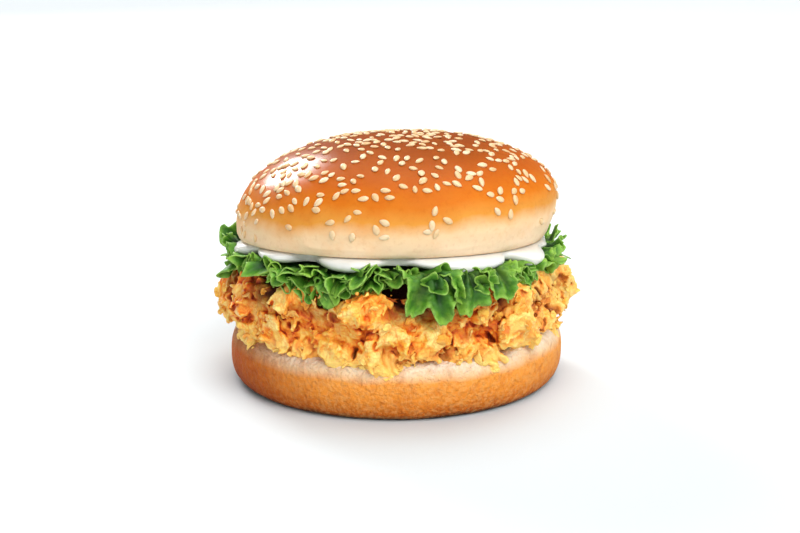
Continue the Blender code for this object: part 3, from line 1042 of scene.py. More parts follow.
def makeCrown(material):
    under, rim, dome = crown["rows"]
    angles = np.linspace(0, 360, crown["columns"], endpoint=False)
    rings = []
    edge = crownPoints(angles, 0.0)
    for share in np.linspace(0.02, 1, under, endpoint=False) ** 0.7:
        ring = edge * share
        ring[:, 2] = 0.00012 * (lumps(ring[:, 0], ring[:, 1], ring[:, 0] * 0, 0.0015, 3) + 1)
        rings.append(ring)
    shares = np.concatenate([np.linspace(0, 1, rim, endpoint=False), 1 + np.linspace(0, 0.992, dome)])
    for share in shares:
        ring = crownPoints(angles, share)
        corner = 1 - smooth(0, crown["cutRound"], ring[:, 2])
        ring[:, :2] *= (1 - 0.35 * crown["cutRound"] / stack["crownRadius"] * corner)[:, None]
        rings.append(ring)
    points, faces = closedLathe(rings, crown["columns"], (0, 0, 0), crownPoints(0.0, 2.0))
    piece = makeObject("toastedCrown", points, faces, material, stackMatrix)
    settle(piece, "crust", "bun_crown")
    return piece


# Heel, in the burger's own frame.
heel = {
    "radius": 0.0552,
    "height": heelHigh.z,
    "tuck": 0.0058,
    "squareness": 2.4,
    "rows": (10, 52, 22),  # over the underside, the side and the cut face
    "columns": 360,
    "swells": ((0.050, 0.00035, 3), (0.014, 0.00013, 21), (0.0026, 0.000035, 22)),
    "pits": (0.0021, 0.00009, 27),  # size, depth and seed of the skin's pits
    "crumb": (0.0018, 0.00016, 29),  # size, height and seed of the cut face's crumb
}


def makeHeel(material):
    under, side, over = heel["rows"]
    turn = np.radians(np.linspace(0, 360, heel["columns"], endpoint=False))
    level = -np.cos(np.linspace(0, np.pi, side))
    out = (1 - np.abs(level) ** heel["squareness"]) ** (1 / heel["squareness"])
    radii = heel["radius"] - heel["tuck"] * (1 - out)
    heights = heel["height"] * (level + 1) / 2
    inner = heel["radius"] - heel["tuck"]
    radii = np.concatenate([inner * np.linspace(0.02, 1, under, endpoint=False), radii,
                            inner * np.linspace(1, 0.02, over + 1)[1:]])
    heights = np.concatenate([np.zeros(under), heights, np.full(over, heel["height"])])
    spot = ringed(turn, radii[:, None], heights[:, None])
    axes = np.moveaxis(spot, -1, 0)
    bulge = sum(depth * lumps(*axes, size, seed) for size, depth, seed in heel["swells"])
    size, depth, seed = heel["pits"]
    bulge = bulge - depth * smooth(0.1, 0.9, lumps(*axes, size, seed))
    onSide = smooth(inner - 0.002, inner + 0.002, radii)[:, None]
    spot[..., :2] *= (1 + bulge * onSide / heel["radius"])[..., None]
    size, height, seed = heel["crumb"]
    face = (np.arange(len(radii)) >= under + side)[:, None]
    spot[..., 2] += face * height * lumps(*axes, size, seed)
    points, faces = closedLathe(list(spot), heel["columns"], (0, 0, 0), (0, 0, heel["height"]))
    piece = makeObject("toastedHeel", points, faces, material)
    settle(piece, "bun", "bun_heel")
    return piece


# Mayonnaise, in the stack's frame.
sauce = {
    "radius": 0.0498,
    "depth": 0.0027,
    "rows": (16, 22, 14),  # over the top, the lip and the underside
    "columns": 480,
    "drips": (  # middle angle, half width, drop, overhang
        (-64, 21, 0.0030, 0.0042),
        (-35, 11, 0.0034, 0.0046),
        (-108, 14, 0.0022, 0.0038),
        (-138, 13, 0.0014, 0.0032),
        (-165, 13, 0.0028, 0.0042),
        (152, 12, 0.0008, 0.0017),
        (112, 14, 0.0013, 0.0022),
        (70, 11, 0.0007, 0.0015),
        (30, 15, 0.0013, 0.0022),
    ),
    # angle, half width, how far the lip draws in
    "gaps": ((-90, 9, 0.0034), (-124, 8, 0.0022), (-47, 5, 0.0018), (-153, 7, 0.0014)),
    "ripples": ((0.012, 0.00090, 51), (0.005, 0.00036, 53)),
    "lip": 0.0030,  # the rounded lip starts this far inside the sauce's radius
    "top": -0.0002,
}


def makeSauce(material):
    over, lip, under = sauce["rows"]
    angle = np.linspace(0, 360, sauce["columns"], endpoint=False)
    turn = np.radians(angle)
    drop = sum(hump(angle, drip[0], drip[1]) ** 0.7 * drip[2] for drip in sauce["drips"])
    hang = sum(hump(angle, drip[0], drip[1]) ** 0.7 * drip[3] for drip in sauce["drips"])
    hang = hang - sum(hump(angle, middle, half) * depth for middle, half, depth in sauce["gaps"])
    circle = np.stack([np.cos(turn), np.sin(turn)], -1) * 0.05
    for size, height, seed in sauce["ripples"]:
        hang = hang + height * lumps(circle[:, 0], circle[:, 1], circle[:, 0] * 0, size, seed)
    depth = sauce["depth"] + drop
    inner, top = sauce["radius"] - sauce["lip"], sauce["top"]
    rings = [ringed(turn, share * inner, top) for share in np.linspace(0.02, 1, over, endpoint=False)]
    for share in np.linspace(0, 1, lip):
        # the lip swells out from under the crown, hangs, and tucks back in
        bend = np.pi * share
        out = inner + (sauce["lip"] + hang) * np.sin(bend) ** 0.75
        rings.append(ringed(turn, out, top - (depth + top) * (1 - np.cos(bend)) / 2))
    for share in np.linspace(1, 0.02, under + 1)[1:]:
        rings.append(ringed(turn, share * inner, -(sauce["depth"] + drop * smooth(0.85, 1, share))))
    points, faces = closedLathe(rings, sauce["columns"], (0, 0, top), (0, 0, -sauce["depth"]), inward=True)
    piece = makeObject("mayonnaiseLayer", points, faces, material, stackMatrix)
    settle(piece, "mayonnaise", "mayonnaise")
    return piece


# Sesame seeds over the crown, in the stack's frame.
seeds = {
    "length": (0.0027, 0.0035),
    "width": 0.62,  # as a share of the length
    "depth": 0.30,
    "sunk": 0.30,  # share of its depth below the skin
    "tries": 24000,
    "count": 520,
    "gap": 0.0021,  # between the middles of two seeds
    # widths, depths and gaps vary by these shares, and seeds tip up or down by this many radians
    "vary": {"width": (0.88, 1.1), "depth": (0.85, 1.15), "gap": (0.8, 1.5), "tip": 0.09},
    # chance that a seed sticks; each is added to the one before, and thinner takes some off at the right
    "density": {"rim": 0.055, "shoulder": 0.20, "top": 0.56, "left": 0.46, "thinner": 0.42},
    "detail": (7, 10),  # rings and points around
    "seed": 19,
}


def seedShape():
    # a flat drop: blunt at one end, pointed at the other, lying along X
    rings, around = seeds["detail"]
    turn = np.linspace(0, 2 * np.pi, around, endpoint=False)
    share = (1 - np.cos(np.linspace(0, np.pi, rings + 2)[1:-1])) / 2
    half = np.sin(np.pi * share**0.84) ** 0.62
    points = [np.roll(ringed(turn, 0.5 * half[i], share[i] - 0.5), 1, axis=1) for i in range(rings)]
    return closedLathe(points, around, (-0.5, 0, 0), (0.5, 0, 0))


def seedDensity(angle, share, spot):
    # how likely a seed is to stick there: thick on top, thin on the shoulder, rare in the pale rim
    density = seeds["density"]
    high = density["rim"] + density["shoulder"] * smooth(0.75, 1.08, share)
    high = high + density["top"] * smooth(1.12, 1.40, share)
    high = high * (1 - density["thinner"] * hump(angle, -22, 42))
    leftSide = density["left"] * hump(angle, -146, 34)
    high = high + leftSide * smooth(0.35, 0.6, share) * (1 - smooth(1.1, 1.3, share))
    patches = 0.62 + 0.60 * lumps(spot[0], spot[1], spot[2], 0.012, 61)
    return high * np.clip(patches, 0.24, 1)


def makeSeeds(material):
    random = np.random.default_rng(seeds["seed"])
    vary = seeds["vary"]
    shape, faces = seedShape()
    points, allFaces, tints, taken = [], [], [], []
    for _ in range(seeds["tries"]):
        if len(taken) >= seeds["count"]:
            break
        # even over the dome's area
        angle, height = random.uniform(-180, 180), random.uniform(0, 1)
        onDome = random.random() >= 0.35
        share = 1 + math.asin(height**0.66) / (math.pi / 2) if onDome else 0.30 + 1.68 * height
        spot = crownPoints(angle, share)
        if random.random() > seedDensity(angle, share, spot):
            continue
        if taken:
            nearest = np.min(np.linalg.norm(np.array(taken) - spot, axis=1))
            if nearest < seeds["gap"] * random.uniform(*vary["gap"]):
                continue
        taken.append(spot)
        alongAngle = crownPoints(angle + 1, share) - crownPoints(angle - 1, share)
        alongShare = crownPoints(angle, min(share + 0.02, 1.995)) - crownPoints(angle, share - 0.02)
        first = alongAngle / np.linalg.norm(alongAngle)
        normal = np.cross(first, alongShare)
        normal /= np.linalg.norm(normal)
        second = np.cross(normal, first)
        turn = random.uniform(0, 2 * math.pi)
        length = random.uniform(*seeds["length"])
        along = first * math.cos(turn) + second * math.sin(turn)
        tip = random.normal(0, vary["tip"])
        along = along * math.cos(tip) + normal * math.sin(tip)
        across = np.cross(normal, along)
        across /= np.linalg.norm(across)
        upward = np.cross(along, across)
        width = length * seeds["width"] * random.uniform(*vary["width"])
        depth = length * seeds["depth"] * random.uniform(*vary["depth"])
        centre = spot + normal * depth * (0.5 - seeds["sunk"])
        offset = len(points) * len(shape)
        points.append(centre + shape[:, :1] * length * along + shape[:, 1:2] * width * across
                      + shape[:, 2:] * depth * upward)
        allFaces += [[corner + offset for corner in face] for face in faces]
        tints.append(np.full(len(shape), random.uniform(0, 1)))
    looks = {"tint": np.concatenate(tints)}
    piece = makeObject("sesameSeeds", np.concatenate(points), allFaces, material, stackMatrix, looks)
    settle(piece, "sesame")
    print(f"{len(taken)} seeds")
    return piece


# Materials. Sizes and heights are in metres, colours 0 to 255 as they look under the studio's light.
# Patches: size, the noise between which they fade in, a shift that gives others, their share of the colour.
# Relief: size and height of the coarse bumps, then of the fine ones.
lightTrim = 0.80


def tone(red, green, blue, trim=lightTrim):
    parts = [value / 255 for value in (red, green, blue)]
    linear = [v / 12.92 if v <= 0.04045 else ((v + 0.055) / 1.055) ** 2.4 for v in parts]
    return tuple(v * trim for v in linear) + (1.0,)


def plug(tree, made, inputs):
    # links what comes from another node, and sets everything else
    for key, value in inputs.items():
        if isinstance(value, bpy.types.NodeSocket):
            tree.links.new(value, made.inputs[key])
        else:
            made.inputs[key].default_value = value


def node(tree, kind, inputs=None, **settings):
    made = tree.nodes.new("ShaderNode" + kind)
    for key, value in settings.items():
        setattr(made, key, value)
    plug(tree, made, inputs or {})
    return made


def joined(tree, operation, *values):
    # one step of arithmetic on numbers and masks
    return node(tree, "Math", dict(enumerate(values)), operation=operation).outputs[0]


def multiplied(tree, first, second):
    return joined(tree, "MULTIPLY", first, second)


def remapped(tree, value, start, end, low=0.0, high=1.0, kind="LINEAR"):
    # low at start, high at end
    inputs = {"Value": value, "From Min": start, "From Max": end, "To Min": low, "To Max": high}
    return node(tree, "MapRange", inputs, interpolation_type=kind).outputs[0]


def attributeOf(tree, name):
    return node(tree, "Attribute", attribute_name=name).outputs["Fac"]


def blended(tree, mask, first, second, mode="MIX"):
    return node(tree, "Mix", {0: mask, 6: first, 7: second}, data_type="RGBA", blend_type=mode).outputs[2]


def ramp(tree, factor, *stops):
    made = node(tree, "ValToRGB", {"Fac": factor})
    elements = made.color_ramp.elements
    while len(elements) < len(stops):
        elements.new(0.5)
    for element, (position, colour) in zip(elements, stops):
        element.position = position
        element.color = colour
    return made.outputs["Color"]


def shadeGroup(name, inputs, output, kind="NodeSocketFloat"):
    # an empty node group with named inputs and one output
    tree = bpy.data.node_groups.new(name, "ShaderNodeTree")
    for label, value in inputs.items():
        socket = tree.interface.new_socket(label, in_out="INPUT", socket_type="NodeSocketFloat")
        socket.default_value = value
    tree.interface.new_socket(output, in_out="OUTPUT", socket_type=kind)
    return tree, tree.nodes.new("NodeGroupInput").outputs, tree.nodes.new("NodeGroupOutput").inputs


def noiseOf(tree, size, detail=3.0, shift=0.0):
    # noise whose blotches are as large as size
    place = node(tree, "TexCoord").outputs["Object"]
    aside = node(tree, "CombineXYZ", {"X": shift}).outputs[0]
    away = node(tree, "VectorMath", {0: place, 1: aside}).outputs[0]
    scale = joined(tree, "DIVIDE", 1.0, size)
    inputs = {"Vector": away, "Scale": scale, "Detail": detail, "Roughness": 0.55}
    return node(tree, "TexNoise", inputs).outputs[0]


def patchesGroup():
    tree, given, result = shadeGroup(
        "patches", {"Size": 0.01, "Detail": 3.0, "Low": 0.4, "High": 0.6, "Shift": 0.0}, "Mask")
    noise = noiseOf(tree, given["Size"], given["Detail"], given["Shift"])
    mask = remapped(tree, noise, given["Low"], given["High"], kind="SMOOTHSTEP")
    tree.links.new(mask, result["Mask"])
    return tree


def creasesGroup():
    # thin winding lines
    tree, given, result = shadeGroup("creases", {"Size": 0.003, "Width": 0.05}, "Mask")
    noise = joined(tree, "SUBTRACT", noiseOf(tree, given["Size"], 2.0), 0.5)
    mask = remapped(tree, joined(tree, "ABSOLUTE", noise), 0.0, given["Width"], 1.0, 0.0, "SMOOTHSTEP")
    tree.links.new(mask, result["Mask"])
    return tree


def fadeGroup():
    # a mask that grows along a position, with an uneven border
    tree, given, result = shadeGroup(
        "unevenFade", {"Position": 0.0, "From": 0.0, "To": 1.0, "Unevenness": 0.0, "Size": 0.01}, "Mask")
    noise = joined(tree, "SUBTRACT", noiseOf(tree, given["Size"]), 0.5)
    pushed = joined(tree, "MULTIPLY_ADD", noise, given["Unevenness"], given["Position"])
    tree.links.new(remapped(tree, pushed, given["From"], given["To"]), result["Mask"])
    return tree


def reliefGroup():
    inputs = {"Coarse Size": 0.002, "Coarse Height": 0.0001, "Fine Size": 0.0005, "Fine Height": 0.00003}
    tree, given, result = shadeGroup("fineRelief", inputs, "Normal", "NodeSocketVector")
    coarse, fine = noiseOf(tree, given["Coarse Size"]), noiseOf(tree, given["Fine Size"])
    first = node(tree, "Bump", {"Height": coarse, "Distance": given["Coarse Height"]}).outputs[0]
    second = node(tree, "Bump", {"Height": fine, "Distance": given["Fine Height"], "Normal": first})
    tree.links.new(second.outputs[0], result["Normal"])
    return tree


shadeGroups = {
    "patches": patchesGroup(),
    "creases": creasesGroup(),
    "fade": fadeGroup(),
    "relief": reliefGroup(),
}


def grouped(tree, name, **inputs):
    made = tree.nodes.new("ShaderNodeGroup")
    made.node_tree = shadeGroups[name]
    plug(tree, made, {key.replace("_", " "): value for key, value in inputs.items()})
    return made.outputs[0]


def patched(tree, colour, layer, within=1.0):
    # lays patches of another colour on; within keeps them to a part of the surface
    mask = grouped(tree, "patches", Size=layer["size"], Detail=layer.get("detail", 3.0), Low=layer["low"],
                   High=layer["high"], Shift=layer["shift"])
    mask = multiplied(tree, multiplied(tree, mask, within), layer["share"])
    return blended(tree, mask, colour, layer["colour"], layer.get("mode", "MIX"))


def faded(tree, position, start, end, unevenness, size):
    return grouped(tree, "fade", Position=position, From=start, To=end, Unevenness=unevenness, Size=size)


def relieved(tree, coarseSize, coarseHeight, fineSize, fineHeight):
    return grouped(tree, "relief", Coarse_Size=coarseSize, Coarse_Height=coarseHeight, Fine_Size=fineSize,
                   Fine_Height=fineHeight)


def newMaterial(name):
    material = bpy.data.materials.new(name)
    material.use_nodes = True
    return material, material.node_tree


def finished(material, colour, look, **linked):
    # sets the shader: its colour, its relief, its constants, and whatever else changes over the surface
    tree = material.node_tree
    inputs = {"Base Color": colour, **look["finish"]}
    if "relief" in look:
        inputs["Normal"] = relieved(tree, *look["relief"])
    inputs.update({key.replace("_", " "): value for key, value in linked.items()})
    plug(tree, tree.nodes["Principled BSDF"], inputs)
    return material


def placeOf(tree):
    return node(tree, "SeparateXYZ", {0: node(tree, "TexCoord").outputs["Object"]}).outputs


crownLook = {
    "bake": (  # height share of the crown, colour
        (0.02, tone(255, 226, 190, 0.86)),
        (0.20, tone(254, 217, 170, 0.86)),
        (0.33, tone(246, 167, 70, 0.76)),
        (0.47, tone(234, 130, 32, 0.72)),
        (0.64, tone(218, 110, 26, 0.67)),
        (0.92, tone(190, 90, 18, 0.48)),
    ),
    "border": (0.006, 0.014),  # unevenness of the bake, and its size
    "lean": -0.045,  # the bake reaches lower at the left by this share of the way across, which darkens that side as painted shade
    "blush": {"size": 0.006, "low": 0.42, "high": 0.75, "shift": 0.0, "share": 0.22, "mode": "MULTIPLY",
              "colour": tone(250, 206, 150, 1.0)},
    "freckles": {"size": 0.0014, "low": 0.50, "high": 0.72, "shift": 3.0, "share": 0.11, "mode": "MULTIPLY",
                 "colour": tone(190, 120, 70, 1.0)},
    "glossAt": (-0.0350, -0.0250, 0.0235),  # middle of the glazed patch
    "glossReach": (0.0180, 0.0070, 0.008, 0.006),
    "gloss": (0.02, 1.0),  # coat off and on the glazed patch
    "roughness": (0.70, 0.50),  # of the pale rim, of the baked skin
    "relief": (0.0022, 0.00010, 0.0006, 0.00002),
    "finish": {"Coat Roughness": 0.22, "Specular IOR Level": 0.05, "Subsurface Weight": 0.08,
               "Subsurface Scale": 0.002},
}


def crownMaterial():
    material, tree = newMaterial("crownSkin")
    place = placeOf(tree)
    # painted shade: the darker bake is shifted lower on the left
    leanedShade = joined(tree, "MULTIPLY_ADD", place[0], crownLook["lean"], place[2])
    baked = faded(tree, leanedShade, 0.0, crown["height"], *crownLook["border"])
    colour = ramp(tree, baked, *crownLook["bake"])
    colour = patched(tree, colour, crownLook["blush"])
    colour = patched(tree, colour, crownLook["freckles"])
    inputs = {0: node(tree, "TexCoord").outputs["Object"], 1: crownLook["glossAt"]}
    far = node(tree, "VectorMath", inputs, operation="DISTANCE").outputs["Value"]
    gloss = faded(tree, far, *crownLook["glossReach"])
    rough = remapped(tree, baked, 0.2, 0.6, *crownLook["roughness"])
    coat = remapped(tree, gloss, 0.0, 1.0, *crownLook["gloss"])
    return finished(material, colour, crownLook, Roughness=rough, Coat_Weight=coat)


heelLook = {
    "bake": (  # height share of the heel, colour; the near-black stops at the very bottom are painted contact shadow
        (0.00, tone(48, 20, 6)),
        (0.05, tone(110, 52, 12)),
        (0.14, tone(202, 106, 28, 0.90)),
        (0.45, tone(238, 147, 54, 0.90)),
        (0.68, tone(243, 157, 66, 0.92)),
        (0.82, tone(252, 218, 176, 0.86)),
        (0.94, tone(255, 238, 214, 0.86)),
    ),
    "border": (0.0034, 0.013),
    "blotches": {"size": 0.0035, "low": 0.45, "high": 0.72, "shift": 1.0, "share": 0.30, "mode": "MULTIPLY",
                 "colour": tone(206, 120, 60)},
    "grain": {"size": 0.0014, "low": 0.42, "high": 0.62, "shift": 2.0, "share": 0.26,
              "colour": tone(252, 196, 122)},
    "left": (-0.020, -0.056, 0.010, 0.012),  # the front left is darker, painted shade: from, to, unevenness and its size
    "front": (0.022, -0.020, 0.010, 0.012),
    "leftShadeColour": tone(190, 120, 30, 1.0),
    "relief": (0.0022, 0.00100, 0.0011, 0.00045),
    "finish": {"Roughness": 0.66, "Coat Weight": 0.02, "Coat Roughness": 0.40, "Specular IOR Level": 0.10,
               "Subsurface Weight": 0.08, "Subsurface Scale": 0.002},
}


def heelMaterial():
    material, tree = newMaterial("heelSkin")
    place = placeOf(tree)
    baked = faded(tree, place[2], 0.0, heel["height"], *heelLook["border"])
    colour = ramp(tree, baked, *heelLook["bake"])
    colour = patched(tree, colour, heelLook["blotches"])
    colour = patched(tree, colour, heelLook["grain"])
    # painted shade on the front left
    front = faded(tree, place[1], *heelLook["front"])
    left = multiplied(tree, faded(tree, place[0], *heelLook["left"]), front)
    colour = blended(tree, left, colour, heelLook["leftShadeColour"], "MULTIPLY")
    return finished(material, colour, heelLook)


crustLook = {
    "depths": (  # how hollow, colour: painted shade, darker and more orange deeper in the hollows
        (0.00, tone(255, 228, 136, 1.0)),
        (0.20, tone(255, 206, 90, 1.0)),
        (0.42, tone(254, 172, 50, 1.0)),
        (0.64, tone(244, 142, 34, 1.0)),
        (0.90, tone(208, 104, 22, 1.0)),
    ),
    "valleyShade": (  # how deep between the clusters, colour to multiply by: painted shade in the valleys
        (0.20, tone(255, 255, 255, 1.0)),
        (0.50, tone(252, 230, 188, 1.0)),
        (0.74, tone(228, 172, 106, 1.0)),
        (0.97, tone(140, 82, 38, 1.0)),
    ),
    "streaks": {"size": 0.0013, "detail": 5.0, "low": 0.46, "high": 0.66, "shift": 9.0, "share": 0.38,
                "mode": "MULTIPLY", "colour": tone(240, 158, 62, 1.0)},
    "creases": ((0.0040, 0.045, 1.0), (0.0019, 0.055, 0.7)),  # size, width, strength
    # the crease lines are darkened by this share and colour, as painted shade in the creases
    "creaseShadeShare": 0.55,
    "creaseShadeColour": tone(250, 168, 76, 1.0),
    "creaseDepth": 0.00013,
    "embers": {"size": 0.0050, "low": 0.50, "high": 0.68, "shift": 4.0, "share": 0.62},
    "emberColour": tone(230, 134, 44),
    "cream": (0.0070, 0.55, 0.70, 6.0),  # size, low, high and shift of its patches
    "creamWhere": (0.65, 0.30, 0.0, 0.50),  # none in the hollows, this much on what stands out
    "creamColour": tone(255, 218, 128),
    # Fades over the fillet: from, to, unevenness and its size.
    "litLowDown": (0.0240, 0.0170, 0.006, 0.005),
    "right": (0.030, 0.046, 0.012, 0.007),
    "front": (0.024, 0.006, 0.012, 0.009),
    "highUp": (0.030, 0.044, 0.016, 0.009),
    "left": (-0.020, -0.050, 0.016, 0.009),
    "under": (0.024, 0.037, 0.014, 0.007),
    "shade": (0.0300, 0.0362, 0.006, 0.006),
    # painted light: lighter and golden low down and at the front right
    "litGoldenShares": (0.62, 0.64),  # of the front right against the foot, of both
    "litGoldenColour": tone(255, 218, 120, 1.0),
    "brownedShadeShare": 0.22,  # high up at the left: painted shade, darker and browner there
    "brownedShadeColour": tone(246, 172, 106, 1.0),
    "sunk": (5.4, 2.4, 0.0, 0.70),  # painted shade: what lies near the meat under the lettuce is darker
    "shadedColour": tone(204, 148, 86, 1.0),
    "bare": (3.4, 1.0),  # and painted shade, almost black, in the gaps
    "deepShadeColour": tone(58, 20, 4, 1.0),
    "roughness": (0.50, 0.90),  # in the open, in those gaps
    "coat": (0.10, 0.0),
    "bumps": (0.0011, 0.00018, 0.0004, 0.00005),  # as relief elsewhere; the creases are sunk into it
    "finish": {"Coat Roughness": 0.3, "Specular IOR Level": 0.30, "Subsurface Weight": 0.12,
               "Subsurface Scale": 0.0015, "Subsurface Radius": (1.0, 0.55, 0.25)},
}


def crustMaterial():
    look = crustLook
    material, tree = newMaterial("crispCrust")
    place = placeOf(tree)
    hollowShade, deep, proud = [attributeOf(tree, name) for name in ("hollowShade", "deep", "proud")]
    # painted shade: darker and more orange deeper in the hollows
    colour = patched(tree, ramp(tree, hollowShade, *look["depths"]), look["streaks"])
    lines = [multiplied(tree, grouped(tree, "creases", Size=size, Width=width), strength)
             for size, width, strength in look["creases"]]
    crease = joined(tree, "MAXIMUM", *lines)
    # painted shade along the sunk creases
    creaseShade = multiplied(tree, crease, look["creaseShadeShare"])
    colour = blended(tree, creaseShade, colour, look["creaseShadeColour"], "MULTIPLY")
    glowing = blended(tree, 0.6, colour, look["emberColour"], "MULTIPLY")
    colour = patched(tree, colour, {**look["embers"], "colour": glowing})
    size, low, high, shift = look["cream"]
    cream = joined(tree, "MAXIMUM", grouped(tree, "patches", Size=size, Low=low, High=high, Shift=shift),
                   attributeOf(tree, "pale"))
    cream = multiplied(tree, cream, remapped(tree, hollowShade, *look["creamWhere"]))
    colour = blended(tree, cream, colour, look["creamColour"])
    # painted light: lighter and golden low down and at the front right, where the painted shade of the
    # valleys stays light too
    right = multiplied(tree, faded(tree, place[0], *look["right"]), faded(tree, place[1], *look["front"]))
    litGolden = multiplied(tree, right, look["litGoldenShares"][0])
    litGolden = joined(tree, "MAXIMUM", faded(tree, place[2], *look["litLowDown"]), litGolden)
    litGolden = multiplied(tree, litGolden, look["litGoldenShares"][1])
    colour = blended(tree, litGolden, colour, look["litGoldenColour"])
    # painted shade between the clusters
    valleyShade = ramp(tree, deep, *look["valleyShade"])
    colour = blended(tree, remapped(tree, litGolden, 0.0, 1.0, 1.0, 0.20), colour, valleyShade, "MULTIPLY")
    # painted shade high up at the left
    brownedShade = multiplied(tree, faded(tree, place[2], *look["highUp"]), faded(tree, place[0], *look["left"]))
    brownedShade = multiplied(tree, brownedShade, look["brownedShadeShare"])
    colour = blended(tree, brownedShade, colour, look["brownedShadeColour"], "MULTIPLY")
    # painted shade under the lettuce
    under = multiplied(tree, faded(tree, place[2], *look["under"]), remapped(tree, proud, *look["sunk"]))
    # less painted shade under the lettuce at the front right
    under = multiplied(tree, under, remapped(tree, right, 0.0, 1.0, 1.0, 0.25))
    colour = blended(tree, under, colour, look["shadedColour"], "MULTIPLY")
    # painted shade, almost black, in the bare gaps under the lettuce
    shade = multiplied(tree, faded(tree, place[2], *look["shade"]), remapped(tree, proud, *look["bare"]))
    colour = blended(tree, shade, colour, look["deepShadeColour"])
    inputs = {"Height": crease, "Distance": look["creaseDepth"], "Normal": relieved(tree, *look["bumps"])}
    relief = node(tree, "Bump", inputs, invert=True).outputs[0]
    rough = remapped(tree, shade, 0.0, 1.0, *look["roughness"])
    coat = remapped(tree, shade, 0.0, 1.0, *look["coat"])
    return finished(material, colour, look, Roughness=rough, Coat_Weight=coat, Normal=relief)


leafLook = {
    "spread": (  # share of the way out, colour: darker towards the inside, which is painted shade, and paler at the rim, partly the leaf's own colour and partly painted highlight
        (0.00, tone(60, 100, 30)),
        (0.22, tone(10, 38, 4)),
        (0.45, tone(30, 80, 14)),
        (0.68, tone(80, 142, 34)),
        (0.90, tone(126, 182, 60)),
        (1.00, tone(156, 202, 90)),
    ),
    # painted highlight: lighter yellow-green patches towards the rim
    "light": {"size": 0.0060, "low": 0.45, "high": 0.66, "shift": 5.0, "share": 0.55,
              "colour": tone(158, 200, 66)},
    "veins": {"size": 0.0018, "low": 0.47, "high": 0.60, "shift": 8.0, "share": 0.35,
              "colour": tone(28, 84, 10)},
    "relief": (0.0024, 0.00030, 0.0008, 0.00008),
    "finish": {"Roughness": 0.54, "Coat Weight": 0.04, "Coat Roughness": 0.30, "Specular IOR Level": 0.30,
               "Subsurface Weight": 0.12, "Subsurface Scale": 0.0010, "Subsurface Radius": (0.6, 1.0, 0.2)},
}


def leafMaterial():
    material, tree = newMaterial("frillLeaf")
    outward = attributeOf(tree, "outward")
    # darker towards the inside as painted shade, paler at the rim
    colour = ramp(tree, outward, *leafLook["spread"])
    # painted highlight in patches towards the rim
    colour = patched(tree, colour, leafLook["light"], outward)
    colour = patched(tree, colour, leafLook["veins"])
    return finished(material, colour, leafLook)


sauceLook = {
    "white": tone(252, 252, 248),
    "clouds": {"size": 0.010, "low": 0.35, "high": 0.70, "shift": 0.0, "share": 1.0,
               "colour": tone(248, 247, 238)},
    "relief": (0.0050, 0.00025, 0.0012, 0.00002),
    "finish": {"Roughness": 0.28, "Coat Weight": 0.25, "Coat Roughness": 0.12, "Subsurface Weight": 0.35,
               "Subsurface Scale": 0.002, "Subsurface Radius": (1.0, 0.95, 0.85)},
}


def sauceMaterial():
    material, tree = newMaterial("whiteSauce")
    colour = patched(tree, sauceLook["white"], sauceLook["clouds"])
    return finished(material, colour, sauceLook)


seedLook = {
    "tints": ((0.0, tone(234, 190, 132)), (0.5, tone(244, 208, 156)), (1.0, tone(250, 224, 182))),
    "streaks": {"size": 0.0010, "low": 0.45, "high": 0.72, "shift": 0.0, "share": 0.25,
                "colour": tone(232, 182, 116)},
    "relief": (0.0010, 0.00006, 0.0003, 0.00001),
    "finish": {"Roughness": 0.42, "Coat Weight": 0.15, "Coat Roughness": 0.25, "Subsurface Weight": 0.10,
               "Subsurface Scale": 0.0008},
}


def seedMaterial():
    material, tree = newMaterial("sesameSkin")
    colour = patched(tree, ramp(tree, attributeOf(tree, "tint"), *seedLook["tints"]), seedLook["streaks"])
    return finished(material, colour, seedLook)


print("building the pieces")
makeHeel(heelMaterial())
crustSkin = crustMaterial()
makeFlakes(makeFillet(crustSkin), crustSkin)
leafSkin = leafMaterial()
for leafName in leaves:
    makeLeaf(leafName, leafSkin)
makeSauce(sauceMaterial())
makeCrown(crownMaterial())
makeSeeds(seedMaterial())

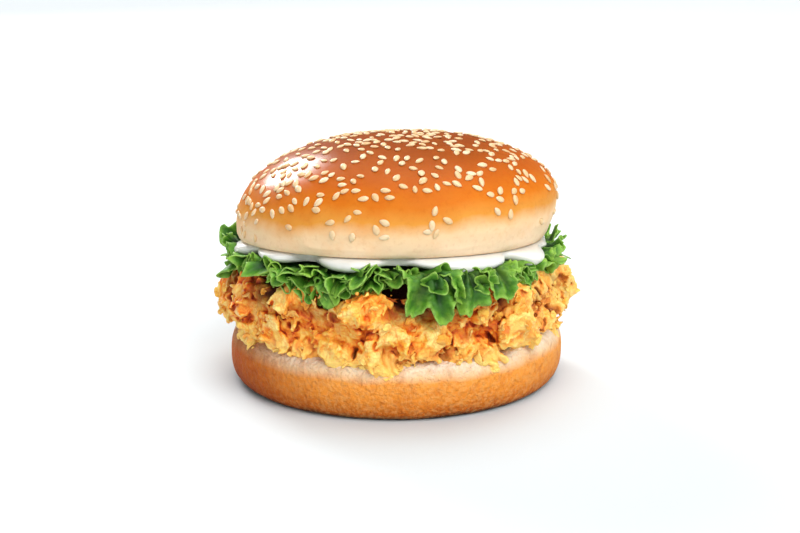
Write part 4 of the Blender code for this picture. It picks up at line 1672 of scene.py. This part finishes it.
# Floor, lights and camera.
studio = {
    "floorSize": 12.0,
    "floorColour": (0.620, 0.654, 0.670, 1.0),
    "ambient": 0.20,
    "suns": {  # the way the light comes from, strength, softness in degrees
        "keyLight": ((0.40, -0.58, 0.74), 2.42, 46),
        "fillLight": ((-0.22, -0.90, 0.38), 0.93, 70),
        "sideLight": ((0.86, -0.42, 0.26), 0.30, 46),
        "topLight": ((0.08, 0.28, 0.95), 2.05, 44),
    },
    "glare": {"aim": (0, 0, 0.05), "from": (-0.445, 0.75, 0.48), "distance": 1.4, "size": 0.46,
              "power": 12},  # a lamp that shines off the glazed patch
    "camera": {"aim": (0.0011, 0, 0.0357), "distance": 0.50, "elevation": 14, "lens": 67.5, "sensor": 36},
}


def makeFloor():
    material, _ = newMaterial("paleFloor")
    finished(material, studio["floorColour"], {"finish": {"Roughness": 0.9, "Specular IOR Level": 0.1}})
    half = studio["floorSize"] / 2
    corners = [(-half, -half, 0), (half, -half, 0), (half, half, 0), (-half, half, 0)]
    makeObject("paleFloor", corners, [(0, 1, 2, 3)], material)


def facing(way):
    return way.to_track_quat("-Z", "Y").to_euler()


def makeSun(name, origin, strength, spread):
    light = bpy.data.lights.new(name, "SUN")
    light.energy = strength
    light.angle = math.radians(spread)
    placed(name, light).rotation_euler = facing(-Vector(origin))


def makeGlare(settings):
    light = bpy.data.lights.new("glareLight", "AREA")
    light.energy = settings["power"]
    light.size = settings["size"]
    aim = Vector(settings["aim"])
    lamp = placed("glareLight", light)
    lamp.location = Vector(settings["from"]).normalized() * settings["distance"] + aim
    lamp.rotation_euler = facing(aim - lamp.location)
    lamp.visible_camera = False


def makeCamera(view):
    tiltDown = math.radians(view["elevation"])
    lens = bpy.data.cameras.new("viewCamera")
    lens.sensor_width = view["sensor"]
    lens.lens = view["lens"]
    camera = placed("viewCamera", lens)
    back = Vector((0, -math.cos(tiltDown), math.sin(tiltDown)))
    camera.location = Vector(view["aim"]) + back * view["distance"]
    camera.rotation_euler = (math.pi / 2 - tiltDown, 0, 0)
    bpy.context.scene.camera = camera


print("setting up the floor, the lights and the camera")
makeFloor()
for lightName, settings in studio["suns"].items():
    makeSun(lightName, *settings)
makeGlare(studio["glare"])
makeCamera(studio["camera"])
world = bpy.data.worlds.new("studio")
bpy.context.scene.world = world
world.use_nodes = True
background = world.node_tree.nodes["Background"]
plug(world.node_tree, background, {"Color": (1.0, 1.0, 1.0, 1.0), "Strength": studio["ambient"]})
bpy.context.scene.view_settings.view_transform = "Standard"
